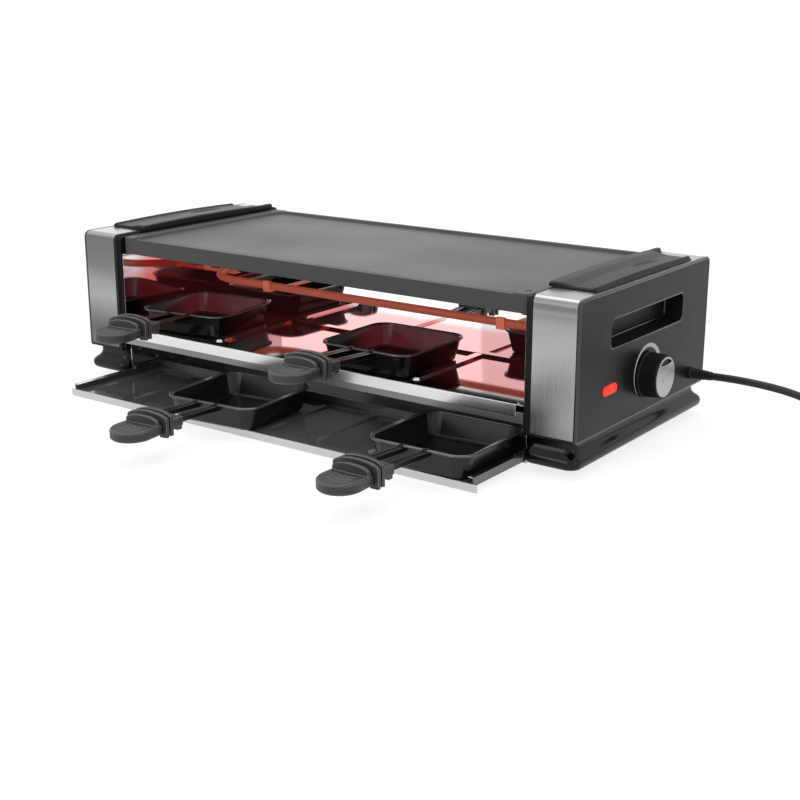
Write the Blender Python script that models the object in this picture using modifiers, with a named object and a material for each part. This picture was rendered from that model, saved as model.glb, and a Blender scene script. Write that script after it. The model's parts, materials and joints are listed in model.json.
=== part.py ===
"""Countertop raclette grill for eight pans, as an assembly of separate pieces.

Metres, +Z up. The grill stands on z = 0. X runs along the grill with the controls at +X.
The front row of pans faces -Y and the rear row faces +Y.
"""
import bpy
import bmesh
from math import ceil, cos, hypot, pi, radians, sin, tau
from mathutils import Matrix, Vector

# Clearances and steps
FIT = 0.0003                  # gap that touching pieces keep
OVERRUN = 0.002               # how far a cutter runs past what it cuts
CORNER_STEPS = 4
TURN_STEPS = 20
MERGE_DISTANCE = 0.00001
SHARP_ANGLE = radians(32)

# End housings
GRILL_LENGTH = 0.540
HOUSING_DEPTH = 0.232
HOUSING_HEIGHT = 0.1125
HOUSING_TOP_RADIUS = 0.006
HOUSING_FOOT_RADIUS = 0.0025
END_WIDTH = 0.0475
COVER_WALL = 0.0023
COVER_EDGE = 0.0012           # rounding of the cover's outer edge
SILL_HEIGHT = 0.0027          # black strip left below the steel band
BAND_THICKNESS = 0.0008
INNER_WALL_THICKNESS = 0.0067
INNER_WALL_STEP = 0.0022      # how far the inner wall's bead stands back
INNER_WALL_LAND = 0.0030      # width of the land next to the band

# Skids and pads under the housings
SKID_HEIGHT = 0.0217
SKID_REACH = 0.0015           # how far the skid's rim stands out past the housing
SKID_FLARE = 0.0065           # from the neck out to the rim
SKID_CORNER = 0.0035
SKID_SHARES = (               # share of the height, share of the flare drawn in
    (0.0, 0.25), (0.04, 0.06), (0.10, 0.0), (0.36, 0.0), (0.42, 0.09), (0.48, 0.32),
    (0.54, 0.58), (0.62, 0.82), (0.72, 0.96), (0.80, 1.0), (1.0, 1.0),
)
PAD_HEIGHT = 0.0070
PAD_DIAMETER = 0.014
PAD_INSET = 0.031             # from the skid's end to the pad's middle

# Carrying grips on top of the housings
GRIP_STRIP_LENGTH = 0.168
GRIP_STRIP_WIDTH = 0.0430
GRIP_STRIP_HEIGHT = 0.0040    # at its ends
GRIP_STRIP_CROWN = 0.0014     # how much higher its middle stands
GRIP_STRIP_INSET = 0.0004     # its inner edge from the inner wall's face
GRIP_STRIP_SETBACK = 0.0020   # its middle from the grill's middle, along Y
GRIP_STRIP_END = 0.0016       # length of the sloping end faces
GRIP_STRIP_EDGE = 0.0010
GRIP_STRIP_DRAFT = 0.0020     # slope of the outer wall
GRIP_STRIP_STEPS = 8
GRIP_LAND = 0.0105            # flat along the inner edge
GRIP_FACET = 0.0110           # slope from the land down to the dish
GRIP_DISH = 0.0019            # dish below the land
GRIP_RIDGE = 0.0020           # ridge along the outer edge
GRIP_RIDGE_SLOPE = 0.0024
GRIP_RIDGE_DROP = 0.0006      # ridge below the land
GRIP_TAIL_LENGTH = 0.0200     # how far the inner edge runs on behind the grip
GRIP_TAIL_WIDTH = 0.0062
SCOOP_LENGTH = 0.050
SCOOP_WIDTH = 0.0105
SCOOP_DEPTH = 0.0014
SCOOP_ALONG = 0.030           # its middle from the grip's middle, along Y

# Grip recess in each side cover
RECESS_LENGTH = 0.131
RECESS_HEIGHT = 0.024
RECESS_DEPTH = 0.017
RECESS_BOTTOM = 0.065         # above the housing's bottom
RECESS_RADIUS = 0.006
RECESS_DRAFT = 0.0016
RECESS_WALL = 0.0020

# Polished liners, deck and base shield
SHEET = 0.0006
LINER_DEPTH = 0.225
LINER_FLANGE = 0.0055
DECK_SHEET = 0.0008
DECK_RISE = 0.0235            # deck surface above the housing's bottom
DECK_SETBACK = 0.0014         # deck edge behind the housing's front
RIDGE_HEIGHT = 0.0022
RIDGE_WIDTH = 0.012
RIDGE_SLOPE = 0.0022
SPINE_RISE = 0.0002           # how far the long ridge stands above the cross ridges
RIDGE_END_GAP = 0.009         # ridge end behind the deck's edge
LIP_HEIGHT = 0.0095
LIP_LEDGE = 0.010
SHIELD_DROP = 0.0059          # shield sheet below the deck sheet
SHIELD_FLANGE = 0.0093
PLACES_A_SIDE = 4

# Lift-off grill plate
PLATE_DEPTH = 0.220
PLATE_HEIGHT = 0.0155
PLATE_SIDE_GAP = 0.0008
PLATE_BELOW_TOP = 0.0020      # plate top below the housing's top
PLATE_CORNER = 0.003
PLATE_EDGE = 0.001
PLATE_FLOOR = 0.0055
PLATE_SKIRT = 0.004
PLATE_END_STRIP = 0.014
PLATE_FRONT_LIP = 0.0032
PLATE_REAR_RIM = 0.0075
PLATE_REAR_STEP = 0.0034
PLATE_RECESS = 0.0024
PLATE_RECESS_DRAFT = 0.0016
PLATE_STEP_DROP = 0.0012
PEG_LENGTH = 0.0075
PEG_WIDTH = 0.0036
PEG_DEPTH = 0.0014
PEG_FROM_END = 0.0075

# Heating tube and its supports
HEATER_DIAMETER = 0.0075
HEATER_HEIGHT = 0.0445        # tube axis above the deck surface
HEATER_SPREAD = 0.090         # between its two runs
HEATER_BEND_GAP = 0.0316      # tube end clear of the left liner
HEATER_COLD_END = 0.020       # how far it runs into the right housing
HEATER_HOLE_GAP = 0.0010
CLIP_STRIP = 0.0010
CLIP_WIDTH = 0.008
CLIP_LIP = 0.0032
CLIP_SHARES = (-0.44, 0.72)   # clip places, as shares of the liner's distance from the middle
HOLDER_WIDTH = 0.010
HOLDER_TAB = 0.012
HOLDER_OVERLAP = 0.010

# Pans
PAN_SIDE_GAP = 0.0014         # pan rim clear of the ridge beside it
PAN_BACK_GAP = 0.0126         # pan rim clear of the long ridge behind it
PAN_HEIGHT = 0.021
PAN_CORNER = 0.016
PAN_WALL = 0.0012
PAN_RIM = 0.0020
PAN_DRAFT = 0.0048
PAN_FILLET = 0.0016

# Pan arms and grips
ARM_LENGTH = 0.057
ARM_WIDTH = 0.0080
ARM_HEIGHT = 0.0040
ARM_SPREAD = 0.0215
ARM_GROOVE = 0.0022
ARM_GROOVE_DEPTH = 0.0012
ARM_ROOT = 0.0042             # how far an arm starts inside the rim
ARM_BELOW_RIM = 0.0006
ARM_CLIMB = 0.0030            # how far an arm climbs from the rim to the block
BLOCK_START = 0.0495          # from the rim to the grip's block
BLOCK_LENGTH = 0.0150
BLOCK_WIDTH = 0.036
BLOCK_HEIGHT = 0.0080
BLOCK_ABOVE_RIM = 0.0046
BLOCK_EDGE = 0.0012
SOCKET_GAP = 0.0004
HEEL_LENGTH = 0.0050
HEEL_HEIGHT = 0.0028
FIN_THICKNESS = 0.0030
FIN_PITCH = 0.0064
FIN_FIRST = 0.0012            # from the block's end to the first fin's middle
FIN_WIDTH = 0.0405            # width of the widest fin
FIN_SHOULDER = 0.0064         # fin shoulders above the rim
FIN_CROWN = 0.0124            # highest fin's crown above the rim
FIN_FOOT = 0.0078             # fin feet below the rim
FIN_WIDTH_SHARES = (0.965, 1.0, 0.79)
FIN_CROWN_SHARES = (1.0, 0.97, 0.80)
FIN_SHOULDER_SHARES = (1.0, 1.0, 0.87)
FIN_STEPS = 10
NECK_WIDTH = 0.026
NECK_HEIGHT = 0.0064
NECK_BELOW_PADDLE = 0.0020    # neck top below the paddle's top
PADDLE_LENGTH = 0.0335
PADDLE_WIDTH = 0.0352
PADDLE_THICKNESS = 0.0086
PADDLE_RISE = 0.0034          # paddle top above the rim
PADDLE_EDGE = 0.0013
PADDLE_ROUND_SHARE = 0.52     # length of the round end, of the paddle's width
PADDLE_ROOT_SHARE = 0.95      # width at the root, of the paddle's width
PADDLE_STEPS = 14
PADDLE_BEAD = 0.0024          # bead round the paddle's dish
PADDLE_DISH = 0.0006
GROOVE_COUNT = 3
GROOVE_PITCH = 0.0054
GROOVE_FIRST = 0.0085         # from the paddle's root
GROOVE_SPAN = 0.0200
GROOVE_WIDTH = 0.0022
GROOVE_BOW = 0.0036
GROOVE_DEPTH = 0.0010
GROOVE_STEPS = 4

# Sliding trays below the deck
TRAY_DEPTH = 0.111
TRAY_OUT = 0.066              # how far a tray stands out of the housing
TRAY_SIDE_GAP = 0.0007
TRAY_FLOOR = 0.0022
TRAY_BASE = 0.0047            # underside above the table
TRAY_RAIL_HEIGHT = 0.0050
TRAY_RAIL = 0.0009
TRAY_MARGIN = 0.010
TRAY_POCKETS = 8
TRAY_RIB = 0.006
TRAY_POCKET_DEPTH = 0.0014
TRAY_POCKET_SLOPE = 0.0025
TRAY_LIP_DROP = 0.0054
TRAY_LIP = 0.0007
TRAY_LIP_RETURN = 0.006
TRAY_LIP_WRAP = 0.0035        # how far the strip reaches past the tray's sides
GUIDE_DEPTH = 0.216
GUIDE_SHEET = 0.0010
GUIDE_LEDGE = 0.004

# Controls in the right housing
CONTROL_HEIGHT = 0.0318       # knob axis above the housing's bottom
KNOB_DIAMETER = 0.0375
KNOB_LENGTH = 0.0165
KNOB_TAPER = 0.0009
KNOB_EDGE = 0.0010
KNOB_RIBS = 46
KNOB_RIB_DEPTH = 0.0006
KNOB_GAP = 0.0008             # between the knob and the cover
CAP_DIAMETER = 0.0334
CAP_THICKNESS = 0.0012
CAP_PROUD = 0.0003
WINDOW_RIM = 0.0016           # silver left outside the window
WINDOW_DEPTH = 0.0052         # window's height on the cap's middle line
WINDOW_ANGLE = radians(43)    # half of the angle that the window spans
WINDOW_STEPS = 8
SHAFT_DIAMETER = 0.006
SHAFT_HOLE_GAP = 0.0010
SHAFT_IN_KNOB = 0.011
SHAFT_IN_BODY = 0.010
THERMOSTAT_WIDTH = 0.030
THERMOSTAT_HEIGHT = 0.032
THERMOSTAT_DEPTH = 0.021
LAMP_LENGTH = 0.0225
LAMP_HEIGHT = 0.0078
LAMP_PROUD = 0.0008
LAMP_ALONG = -0.064
LAMP_RISE = 0.033             # lamp's middle above the housing's bottom
LAMP_HOLDER_DEPTH = 0.014
LAMP_HOLDER_SIZE = 0.012
TERMINAL_ALONG = 0.046
TERMINAL_RISE = 0.017
TERMINAL_LENGTH = 0.032
TERMINAL_HEIGHT = 0.018
TERMINAL_DEPTH = 0.016
TERMINAL_WAYS = 3
TERMINAL_BORE = 0.005

# Cord, its strain relief and its plug
CORD_DIAMETER = 0.0066
CORD_ALONG = 0.0885
CORD_RISE = 0.0132            # cord axis above the housing's bottom
RELIEF_HOLE = 0.0100
RELIEF_HOLE_GAP = 0.0003
RELIEF_FLANGE = 0.0150
RELIEF_FLANGE_DEPTH = 0.0025
RELIEF_SHOULDER = 0.0108
RELIEF_SHOULDER_LENGTH = 0.0025
RELIEF_TIP = 0.0078
RELIEF_LENGTH = 0.0200
# Route of the cord in grill coordinates, chosen by hand
CORD_ROUTE = (
    (0.2906, 0.0885, 0.0422), (0.3040, 0.0885, 0.0426), (0.3200, 0.0886, 0.0425),
    (0.3380, 0.0888, 0.0416), (0.3560, 0.0889, 0.0398), (0.3740, 0.0889, 0.0362),
    (0.3930, 0.0888, 0.0300), (0.4120, 0.0886, 0.0218), (0.4300, 0.0885, 0.0137),
    (0.4470, 0.0885, 0.0075), (0.4620, 0.0885, 0.0042), (0.4740, 0.0885, 0.0035),
)
CORD_STEP = 0.015
COIL_INNER_RADIUS = 0.0328
COIL_PITCH = 0.0074
COIL_FIRST_TURNS = 2.0
COIL_CLIMB_TURNS = 0.5
COIL_SECOND_TURNS = 1.75
COIL_CLIMB_DIP = 0.0010
COIL_POINTS_A_TURN = 24
TAIL_LENGTH = 0.046
TAIL_STEPS = 6
PLUG_DIAMETER = 0.037
PLUG_BODY_LENGTH = 0.019
PLUG_EDGE = 0.0020
PLUG_CONE_LENGTH = 0.017
PLUG_SLEEVE_DIAMETER = 0.0125
PLUG_SLEEVE_LENGTH = 0.013
PLUG_TIP_DIAMETER = 0.0092
PIN_DIAMETER = 0.0048
PIN_LENGTH = 0.019
PIN_SPREAD = 0.019

# Places worked out from the sizes above
HALF_LENGTH = GRILL_LENGTH / 2
HALF_DEPTH = HOUSING_DEPTH / 2
SKID_TOP = PAD_HEIGHT + SKID_HEIGHT
HOUSING_BOTTOM = SKID_TOP + FIT
HOUSING_TOP = HOUSING_BOTTOM + HOUSING_HEIGHT
COVER_INSIDE = HALF_LENGTH - COVER_WALL
INNER_WALL_X = HALF_LENGTH - END_WIDTH
BAND_X = INNER_WALL_X + INNER_WALL_THICKNESS + FIT
BAND_INSET = BAND_THICKNESS + FIT
LINER_X = INNER_WALL_X - FIT
LINER_FACE = LINER_X - SHEET
DECK_TOP = HOUSING_BOTTOM + DECK_RISE
DECK_BOTTOM = DECK_TOP - DECK_SHEET
DECK_HALF_LENGTH = LINER_FACE - FIT
DECK_HALF_DEPTH = HALF_DEPTH - DECK_SETBACK
PLATE_TOP = HOUSING_TOP - PLATE_BELOW_TOP
PLATE_BOTTOM = PLATE_TOP - PLATE_HEIGHT
PLATE_HALF_LENGTH = INNER_WALL_X - PLATE_SIDE_GAP
HEATER_Z = DECK_TOP + HEATER_HEIGHT
SHIELD_TOP = DECK_BOTTOM - SHIELD_DROP + SHEET
SHIELD_BOTTOM = SHIELD_TOP - SHEET
LIP_BACK = DECK_HALF_DEPTH + FIT
CONTROL_Z = HOUSING_BOTTOM + CONTROL_HEIGHT
CORD_Z = HOUSING_BOTTOM + CORD_RISE
KNOB_BACK = HALF_LENGTH + KNOB_GAP
KNOB_FRONT = KNOB_BACK + KNOB_LENGTH
PLACE_PITCH = 2 * LINER_FACE / PLACES_A_SIDE
PAN_SIZE = min(PLACE_PITCH - RIDGE_WIDTH - 2 * PAN_SIDE_GAP, DECK_HALF_DEPTH - RIDGE_WIDTH / 2 - PAN_BACK_GAP)
TRAY_TOP = TRAY_BASE + TRAY_FLOOR
TRAY_HALF_LENGTH = LINER_X - GUIDE_SHEET - TRAY_SIDE_GAP
TRAY_FRONT = HALF_DEPTH + TRAY_OUT
TRAY_BACK = TRAY_FRONT - TRAY_DEPTH
SKID_OUTSIDE = HALF_LENGTH + SKID_REACH
# The knob stands out on one side only, so the grill's middle lies this far from the origin
GRILL_SHIFT = -(KNOB_FRONT + CAP_PROUD - SKID_OUTSIDE) / 2

# Pans as photographed: name, side of the grill, share of the place pitch along X, turn in degrees
# and how far the rim stands out past the deck's or the tray's edge, as a share of the pan's size
PAN_PLACE_SHARES = (
    ("front_deck_pan_left", -1, -1.471, 8.0, -0.064),
    ("front_deck_pan_right", -1, 0.568, 0.8, 0.009),
    ("rear_deck_pan_left", 1, -1.5, -1.5, -0.048),
    ("rear_deck_pan_right", 1, 1.5, 1.0, -0.048),
    ("front_tray_pan_left", -1, -0.40, 5.0, 0.140),
    ("front_tray_pan_right", -1, 1.53, 1.5, 0.083),
    ("rear_tray_pan_left", 1, -0.5, 1.0, 0.104),
    ("rear_tray_pan_right", 1, 0.5, -2.0, 0.062),
)

AXIS_PLACES = {
    "X": lambda u, v, w: (w, u, v),
    "Y": lambda u, v, w: (u, w, v),
    "Z": lambda u, v, w: (u, v, w),
}


def clear_scene():
    """Remove whatever the start-up file holds."""
    for item in list(bpy.data.objects):
        bpy.data.objects.remove(item, do_unlink=True)


def new_collection(name):
    """Add a collection to the scene."""
    collection = bpy.data.collections.new(name)
    bpy.context.scene.collection.children.link(collection)
    return collection


def new_material(name, color, roughness, metallic=0.0):
    """A Principled material with one colour."""
    material = bpy.data.materials.new(name)
    material.use_nodes = True
    shader = material.node_tree.nodes["Principled BSDF"]
    shader.inputs["Base Color"].default_value = (*color, 1.0)
    shader.inputs["Roughness"].default_value = roughness
    shader.inputs["Metallic"].default_value = metallic
    return material


def make_materials():
    """Every finish on the grill."""
    return {
        "black_plastic": new_material("black_plastic", (0.030, 0.030, 0.032), 0.42),
        "brushed_steel": new_material("brushed_steel", (0.55, 0.55, 0.56), 0.32, 1.0),
        "polished_steel": new_material("polished_steel", (0.78, 0.77, 0.76), 0.06, 1.0),
        "grey_steel": new_material("grey_steel", (0.30, 0.30, 0.30), 0.40, 1.0),
        "black_steel": new_material("black_steel", (0.030, 0.030, 0.032), 0.35, 0.4),
        "plate_coating": new_material("plate_coating", (0.090, 0.090, 0.092), 0.55),
        "pan_coating": new_material("pan_coating", (0.020, 0.017, 0.020), 0.22),
        "grip_plastic": new_material("grip_plastic", (0.045, 0.045, 0.047), 0.60),
        "heater_sheath": new_material("heater_sheath", (0.45, 0.10, 0.05), 0.50, 0.6),
        "tray_coating": new_material("tray_coating", (0.060, 0.060, 0.062), 0.30),
        "lamp_red": new_material("lamp_red", (0.80, 0.03, 0.02), 0.20),
        "cap_silver": new_material("cap_silver", (0.62, 0.62, 0.63), 0.28, 1.0),
        "rubber": new_material("rubber", (0.035, 0.035, 0.036), 0.75),
        "cord_sheath": new_material("cord_sheath", (0.045, 0.045, 0.047), 0.55),
        "ceramic": new_material("ceramic", (0.75, 0.73, 0.68), 0.60),
        "phenolic": new_material("phenolic", (0.10, 0.07, 0.05), 0.50),
    }


def rounded_outline(left, right, bottom, top, low_radius, high_radius, steps=CORNER_STEPS):
    """Anticlockwise points of a rectangle with one radius below and one above."""
    corners = (
        (right - low_radius, bottom + low_radius, low_radius, -pi / 2),
        (right - high_radius, top - high_radius, high_radius, 0.0),
        (left + high_radius, top - high_radius, high_radius, pi / 2),
        (left + low_radius, bottom + low_radius, low_radius, pi),
    )
    points = []
    for u, v, radius, start in corners:
        for step in range(steps + 1):
            angle = start + pi / 2 * step / steps
            points.append((u + radius * cos(angle), v + radius * sin(angle)))
    return points


def centred_outline(length, width, radius, steps=CORNER_STEPS):
    """Rounded rectangle about the origin."""
    return rounded_outline(-length / 2, length / 2, -width / 2, width / 2, radius, radius, steps)


def housing_outline(inset=0.0):
    """The end housing's outline in Y and Z, drawn in by inset."""
    reach = HALF_DEPTH - inset
    return rounded_outline(
        -reach, reach, HOUSING_BOTTOM + inset, HOUSING_TOP - inset,
        max(HOUSING_FOOT_RADIUS - inset, FIT), max(HOUSING_TOP_RADIUS - inset, FIT),
    )


def shifted(outline, along, up):
    """Move a flat outline."""
    return [(u + along, v + up) for u, v in outline]


def add_prism(bm, outline, axis, start, end):
    """Extrude a flat outline along an axis."""
    place = AXIS_PLACES[axis]
    face = bm.faces.new([bm.verts.new(place(u, v, start)) for u, v in outline])
    grown = bmesh.ops.extrude_face_region(bm, geom=[face])
    moved = [item for item in grown["geom"] if isinstance(item, bmesh.types.BMVert)]
    bmesh.ops.translate(bm, verts=moved, vec=Vector(place(0.0, 0.0, end - start)))
    return bm


def add_box(bm, low, high):
    """Add a box between two corners."""
    low = Vector(low)
    high = Vector(high)
    place = Matrix.Translation((low + high) / 2) @ Matrix.Diagonal((*(high - low), 1.0))
    bmesh.ops.create_cube(bm, size=1.0, matrix=place)
    return bm


def add_cylinder(bm, diameter, start, end, centre, steps=TURN_STEPS):
    """Add a cylinder along X between two places, about a centre in Y and Z."""
    place = Matrix.Translation(((start + end) / 2, *centre)) @ Matrix.Rotation(pi / 2, 4, "Y")
    bmesh.ops.create_cone(
        bm, cap_ends=True, segments=steps, radius1=diameter / 2, radius2=diameter / 2,
        depth=abs(end - start), matrix=place,
    )
    return bm


def add_loft(bm, sections):
    """Join rings of equal count into one closed skin."""
    rings = [[bm.verts.new(point) for point in section] for section in sections]
    for near, far in zip(rings, rings[1:]):
        for index in range(len(near)):
            after = (index + 1) % len(near)
            bm.faces.new((near[index], near[after], far[after], far[index]))
    bm.faces.new(rings[0][::-1])
    bm.faces.new(rings[-1])
    return bm


def placed(outline, axis, level):
    """Stand a flat outline at a level along an axis."""
    place = AXIS_PLACES[axis]
    return [place(u, v, level) for u, v in outline]


def mesh_from(bm, name):
    """Close a bmesh with its faces pointing outwards."""
    bmesh.ops.recalc_face_normals(bm, faces=bm.faces)
    mesh = bpy.data.meshes.new(name)
    bm.to_mesh(mesh)
    bm.free()
    mesh.shade_smooth()
    mesh.set_sharp_from_angle(angle=SHARP_ANGLE)
    return mesh


class Workshop:
    """Holds the collections, the materials and the grill's own frame."""

    def __init__(self):
        self.parts = new_collection("raclette_grill")
        self.cutters = new_collection("cutters")
        self.materials = make_materials()
        self.frame = bpy.data.objects.new("grill_frame", None)
        self.frame.location.x = GRILL_SHIFT
        self.parts.objects.link(self.frame)

    def place(self, item, name, material, origin, parent):
        """Give an object its material, its place and its parent."""
        item.name = name
        item.parent = parent or self.frame
        item.location = origin
        if item.data.materials:
            item.data.materials[0] = self.materials[material]
        else:
            item.data.materials.append(self.materials[material])
        self.parts.objects.link(item)
        return item

    def piece(self, name, bm, material, origin=(0.0, 0.0, 0.0), parent=None):
        """Make a named piece; its mesh is drawn in the grill's frame, its origin is given."""
        bmesh.ops.translate(bm, verts=bm.verts, vec=-Vector(origin))
        return self.place(bpy.data.objects.new(name, mesh_from(bm, name)), name, material, origin, parent)

    def cutter(self, name, bm):
        """Make a cutter or a piece to join, in the grill's frame."""
        item = bpy.data.objects.new(name, mesh_from(bm, name))
        item.parent = self.frame
        item.hide_render = True
        item.display_type = "WIRE"
        self.cutters.objects.link(item)
        return item

    def combine(self, item, name, bm, operation="DIFFERENCE"):
        """Cut a piece, or join something to it, with an exact Boolean."""
        modifier = item.modifiers.new(name, "BOOLEAN")
        modifier.operation = operation
        modifier.solver = "EXACT"
        modifier.object = self.cutter(f"{item.name}_{name}", bm)
        for mesh in (item.data, modifier.object.data):
            mesh.shade_flat()
        return modifier

    def turned(self, name, profile, material, origin, rotation, parent=None):
        """Turn a profile of radius and height, outer side from top to bottom."""
        mesh = bpy.data.meshes.new(name)
        edges = [(index, index + 1) for index in range(len(profile) - 1)]
        mesh.from_pydata([(radius, 0.0, height) for radius, height in profile], edges, [])
        item = self.place(bpy.data.objects.new(name, mesh), name, material, origin, parent)
        item.rotation_euler = rotation
        screw = item.modifiers.new("turn", "SCREW")
        screw.steps = TURN_STEPS
        screw.render_steps = TURN_STEPS
        screw.use_merge_vertices = True
        screw.merge_threshold = MERGE_DISTANCE
        screw.use_smooth_shade = True
        return item

    def tube(self, name, points, diameter, resolution, material, origin=(0.0, 0.0, 0.0), parent=None):
        """A round tube along points given in the grill's frame."""
        curve = bpy.data.curves.new(name, "CURVE")
        curve.dimensions = "3D"
        curve.bevel_depth = diameter / 2
        curve.bevel_resolution = resolution
        curve.use_fill_caps = True
        spline = curve.splines.new("POLY")
        spline.points.add(len(points) - 1)
        for point, place in zip(spline.points, points):
            point.co = (*(Vector(place) - Vector(origin)), 1.0)
        return self.place(bpy.data.objects.new(name, curve), name, material, origin, parent)


def mirrored(bm, side):
    """Turn a right-hand shape into the left-hand one when side is -1."""
    if side < 0:
        bmesh.ops.scale(bm, vec=Vector((-1.0, 1.0, 1.0)), verts=bm.verts)
        bmesh.ops.reverse_faces(bm, faces=bm.faces)
    return bm


def flipped(bm, row):
    """Turn a front shape into the rear one when row is 1."""
    if row > 0:
        bmesh.ops.scale(bm, vec=Vector((1.0, -1.0, 1.0)), verts=bm.verts)
        bmesh.ops.reverse_faces(bm, faces=bm.faces)
    return bm


def make_skid(shop, name, side):
    """Full-depth foot with a cove under the housing and a round rim."""
    sections = []
    for height_share, flare_share in SKID_SHARES:
        drawn_in = SKID_FLARE * flare_share
        reach = HALF_DEPTH + SKID_REACH - drawn_in
        outline = rounded_outline(
            INNER_WALL_X, SKID_OUTSIDE - drawn_in, -reach, reach, SKID_CORNER, SKID_CORNER,
        )
        sections.append(placed(outline, "Z", PAD_HEIGHT + SKID_HEIGHT * height_share))
    shop.piece(name, mirrored(add_loft(bmesh.new(), sections), side), "black_plastic")


def make_pads(shop):
    """Four rubber pads under the ends of the skids."""
    pad_x = (INNER_WALL_X + SKID_OUTSIDE) / 2
    pad_y = HALF_DEPTH - PAD_INSET
    top = PAD_HEIGHT - FIT
    edge = top / 4
    radius = PAD_DIAMETER / 2
    profile = ((0.0, top), (radius, top), (radius, edge), (radius - edge, 0.0), (0.0, 0.0))
    for name, side, row in (
        ("front_left_pad", -1, -1), ("front_right_pad", 1, -1),
        ("rear_left_pad", -1, 1), ("rear_right_pad", 1, 1),
    ):
        shop.turned(name, profile, "rubber", (side * pad_x, row * pad_y, 0.0), (0.0, 0.0, 0.0))


def band_wrap(inset, foot):
    """Front, top and rear of the housing's outline, drawn in by inset and ending at foot."""
    reach = HALF_DEPTH - inset
    count = CORNER_STEPS + 1
    crown = rounded_outline(
        -reach, reach, foot, HOUSING_TOP - inset, FIT, max(HOUSING_TOP_RADIUS - inset, FIT),
    )
    return [(reach, foot)] + crown[count:3 * count] + [(-reach, foot)]


def recess_outline(grow):
    """Grip recess outline in Y and Z, grown by an amount."""
    outline = centred_outline(
        RECESS_LENGTH + 2 * grow, RECESS_HEIGHT + 2 * grow, max(RECESS_RADIUS + grow, FIT),
    )
    return shifted(outline, 0.0, HOUSING_BOTTOM + RECESS_BOTTOM + RECESS_HEIGHT / 2)


def recess_shape(grow, mouth, floor):
    """Tapered block from the recess mouth to its floor."""
    sections = [
        placed(recess_outline(grow - RECESS_DRAFT), "X", floor),
        placed(recess_outline(grow), "X", mouth),
    ]
    return add_loft(bmesh.new(), sections)


def make_side_cover(shop, name, side):
    """Moulded end cover, open towards the inner wall, with a recess for the fingers."""
    sections = [
        placed(housing_outline(), "X", BAND_X),
        placed(housing_outline(), "X", HALF_LENGTH - COVER_EDGE),
        placed(housing_outline(COVER_EDGE), "X", HALF_LENGTH),
    ]
    cover = shop.piece(name, mirrored(add_loft(bmesh.new(), sections), side), "black_plastic")
    sill = HOUSING_BOTTOM + SILL_HEIGHT
    seat = band_wrap(-OVERRUN, sill) + band_wrap(BAND_INSET, sill)[::-1]
    cut = add_prism(bmesh.new(), seat, "X", BAND_X - OVERRUN, COVER_INSIDE)
    shop.combine(cover, "band_seat", mirrored(cut, side))
    inside = BAND_INSET + COVER_WALL
    cavity_outline = rounded_outline(
        -HALF_DEPTH + inside, HALF_DEPTH - inside, HOUSING_BOTTOM + COVER_WALL, HOUSING_TOP - inside,
        HOUSING_FOOT_RADIUS, HOUSING_TOP_RADIUS - BAND_INSET,
    )
    cavity = add_prism(bmesh.new(), cavity_outline, "X", BAND_X - OVERRUN, COVER_INSIDE)
    shop.combine(cover, "cavity", mirrored(cavity, side))
    recess_floor = HALF_LENGTH - RECESS_DEPTH
    tub = recess_shape(RECESS_WALL, COVER_INSIDE + COVER_WALL / 2, recess_floor - RECESS_WALL)
    shop.combine(cover, "tub", mirrored(tub, side), "UNION")
    recess = recess_shape(0.0, HALF_LENGTH, recess_floor)
    for face in recess.faces:
        if abs(face.calc_center_median().x - HALF_LENGTH) < FIT:
            mouth = face
    bmesh.ops.translate(recess, verts=mouth.verts, vec=Vector((OVERRUN, 0.0, 0.0)))
    shop.combine(cover, "recess", mirrored(recess, side))
    return cover


def lamp_outline(grow=0.0):
    """Stadium outline of the signal lamp in Y and Z."""
    height = LAMP_HEIGHT + 2 * grow
    outline = centred_outline(LAMP_LENGTH + 2 * grow, height, height * 0.49)
    return shifted(outline, LAMP_ALONG, HOUSING_BOTTOM + LAMP_RISE)


def cut_control_holes(shop, cover):
    """Holes for the shaft, the lamp and the strain relief."""
    start = COVER_INSIDE - OVERRUN
    end = HALF_LENGTH + OVERRUN
    holes = add_cylinder(
        bmesh.new(), SHAFT_DIAMETER + 2 * SHAFT_HOLE_GAP, start, end, (0.0, CONTROL_Z),
    )
    add_cylinder(holes, RELIEF_HOLE, start, end, (CORD_ALONG, CORD_Z))
    add_prism(holes, lamp_outline(FIT), "X", start, end)
    shop.combine(cover, "holes", holes)


def make_band(shop, name, side):
    """Brushed steel strip wrapped over the front, top and rear of an end housing."""
    foot = HOUSING_BOTTOM + SILL_HEIGHT + FIT
    outline = band_wrap(0.0, foot) + band_wrap(BAND_THICKNESS, foot)[::-1]
    band = add_prism(bmesh.new(), outline, "X", BAND_X, COVER_INSIDE - FIT)
    shop.piece(name, mirrored(band, side), "brushed_steel")


def heater_holes(start, end):
    """Two cutters for the heater's ends."""
    diameter = HEATER_DIAMETER + 2 * HEATER_HOLE_GAP
    bm = bmesh.new()
    for row in (-1, 1):
        add_cylinder(bm, diameter, start, end, (row * HEATER_SPREAD / 2, HEATER_Z), 12)
    return bm


def make_inner_wall(shop, name, side):
    """Black wall that closes an end housing, with a bead along its inner edge."""
    bead = INNER_WALL_X + INNER_WALL_THICKNESS - INNER_WALL_LAND
    sections = [
        placed(housing_outline(INNER_WALL_STEP), "X", INNER_WALL_X),
        placed(housing_outline(INNER_WALL_STEP), "X", bead - INNER_WALL_STEP / 2),
        placed(housing_outline(), "X", bead),
        placed(housing_outline(), "X", INNER_WALL_X + INNER_WALL_THICKNESS),
    ]
    wall = shop.piece(name, mirrored(add_loft(bmesh.new(), sections), side), "black_plastic")
    if side > 0:
        end = INNER_WALL_X + INNER_WALL_THICKNESS + OVERRUN
        shop.combine(wall, "heater_holes", heater_holes(INNER_WALL_X - OVERRUN, end))


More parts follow.
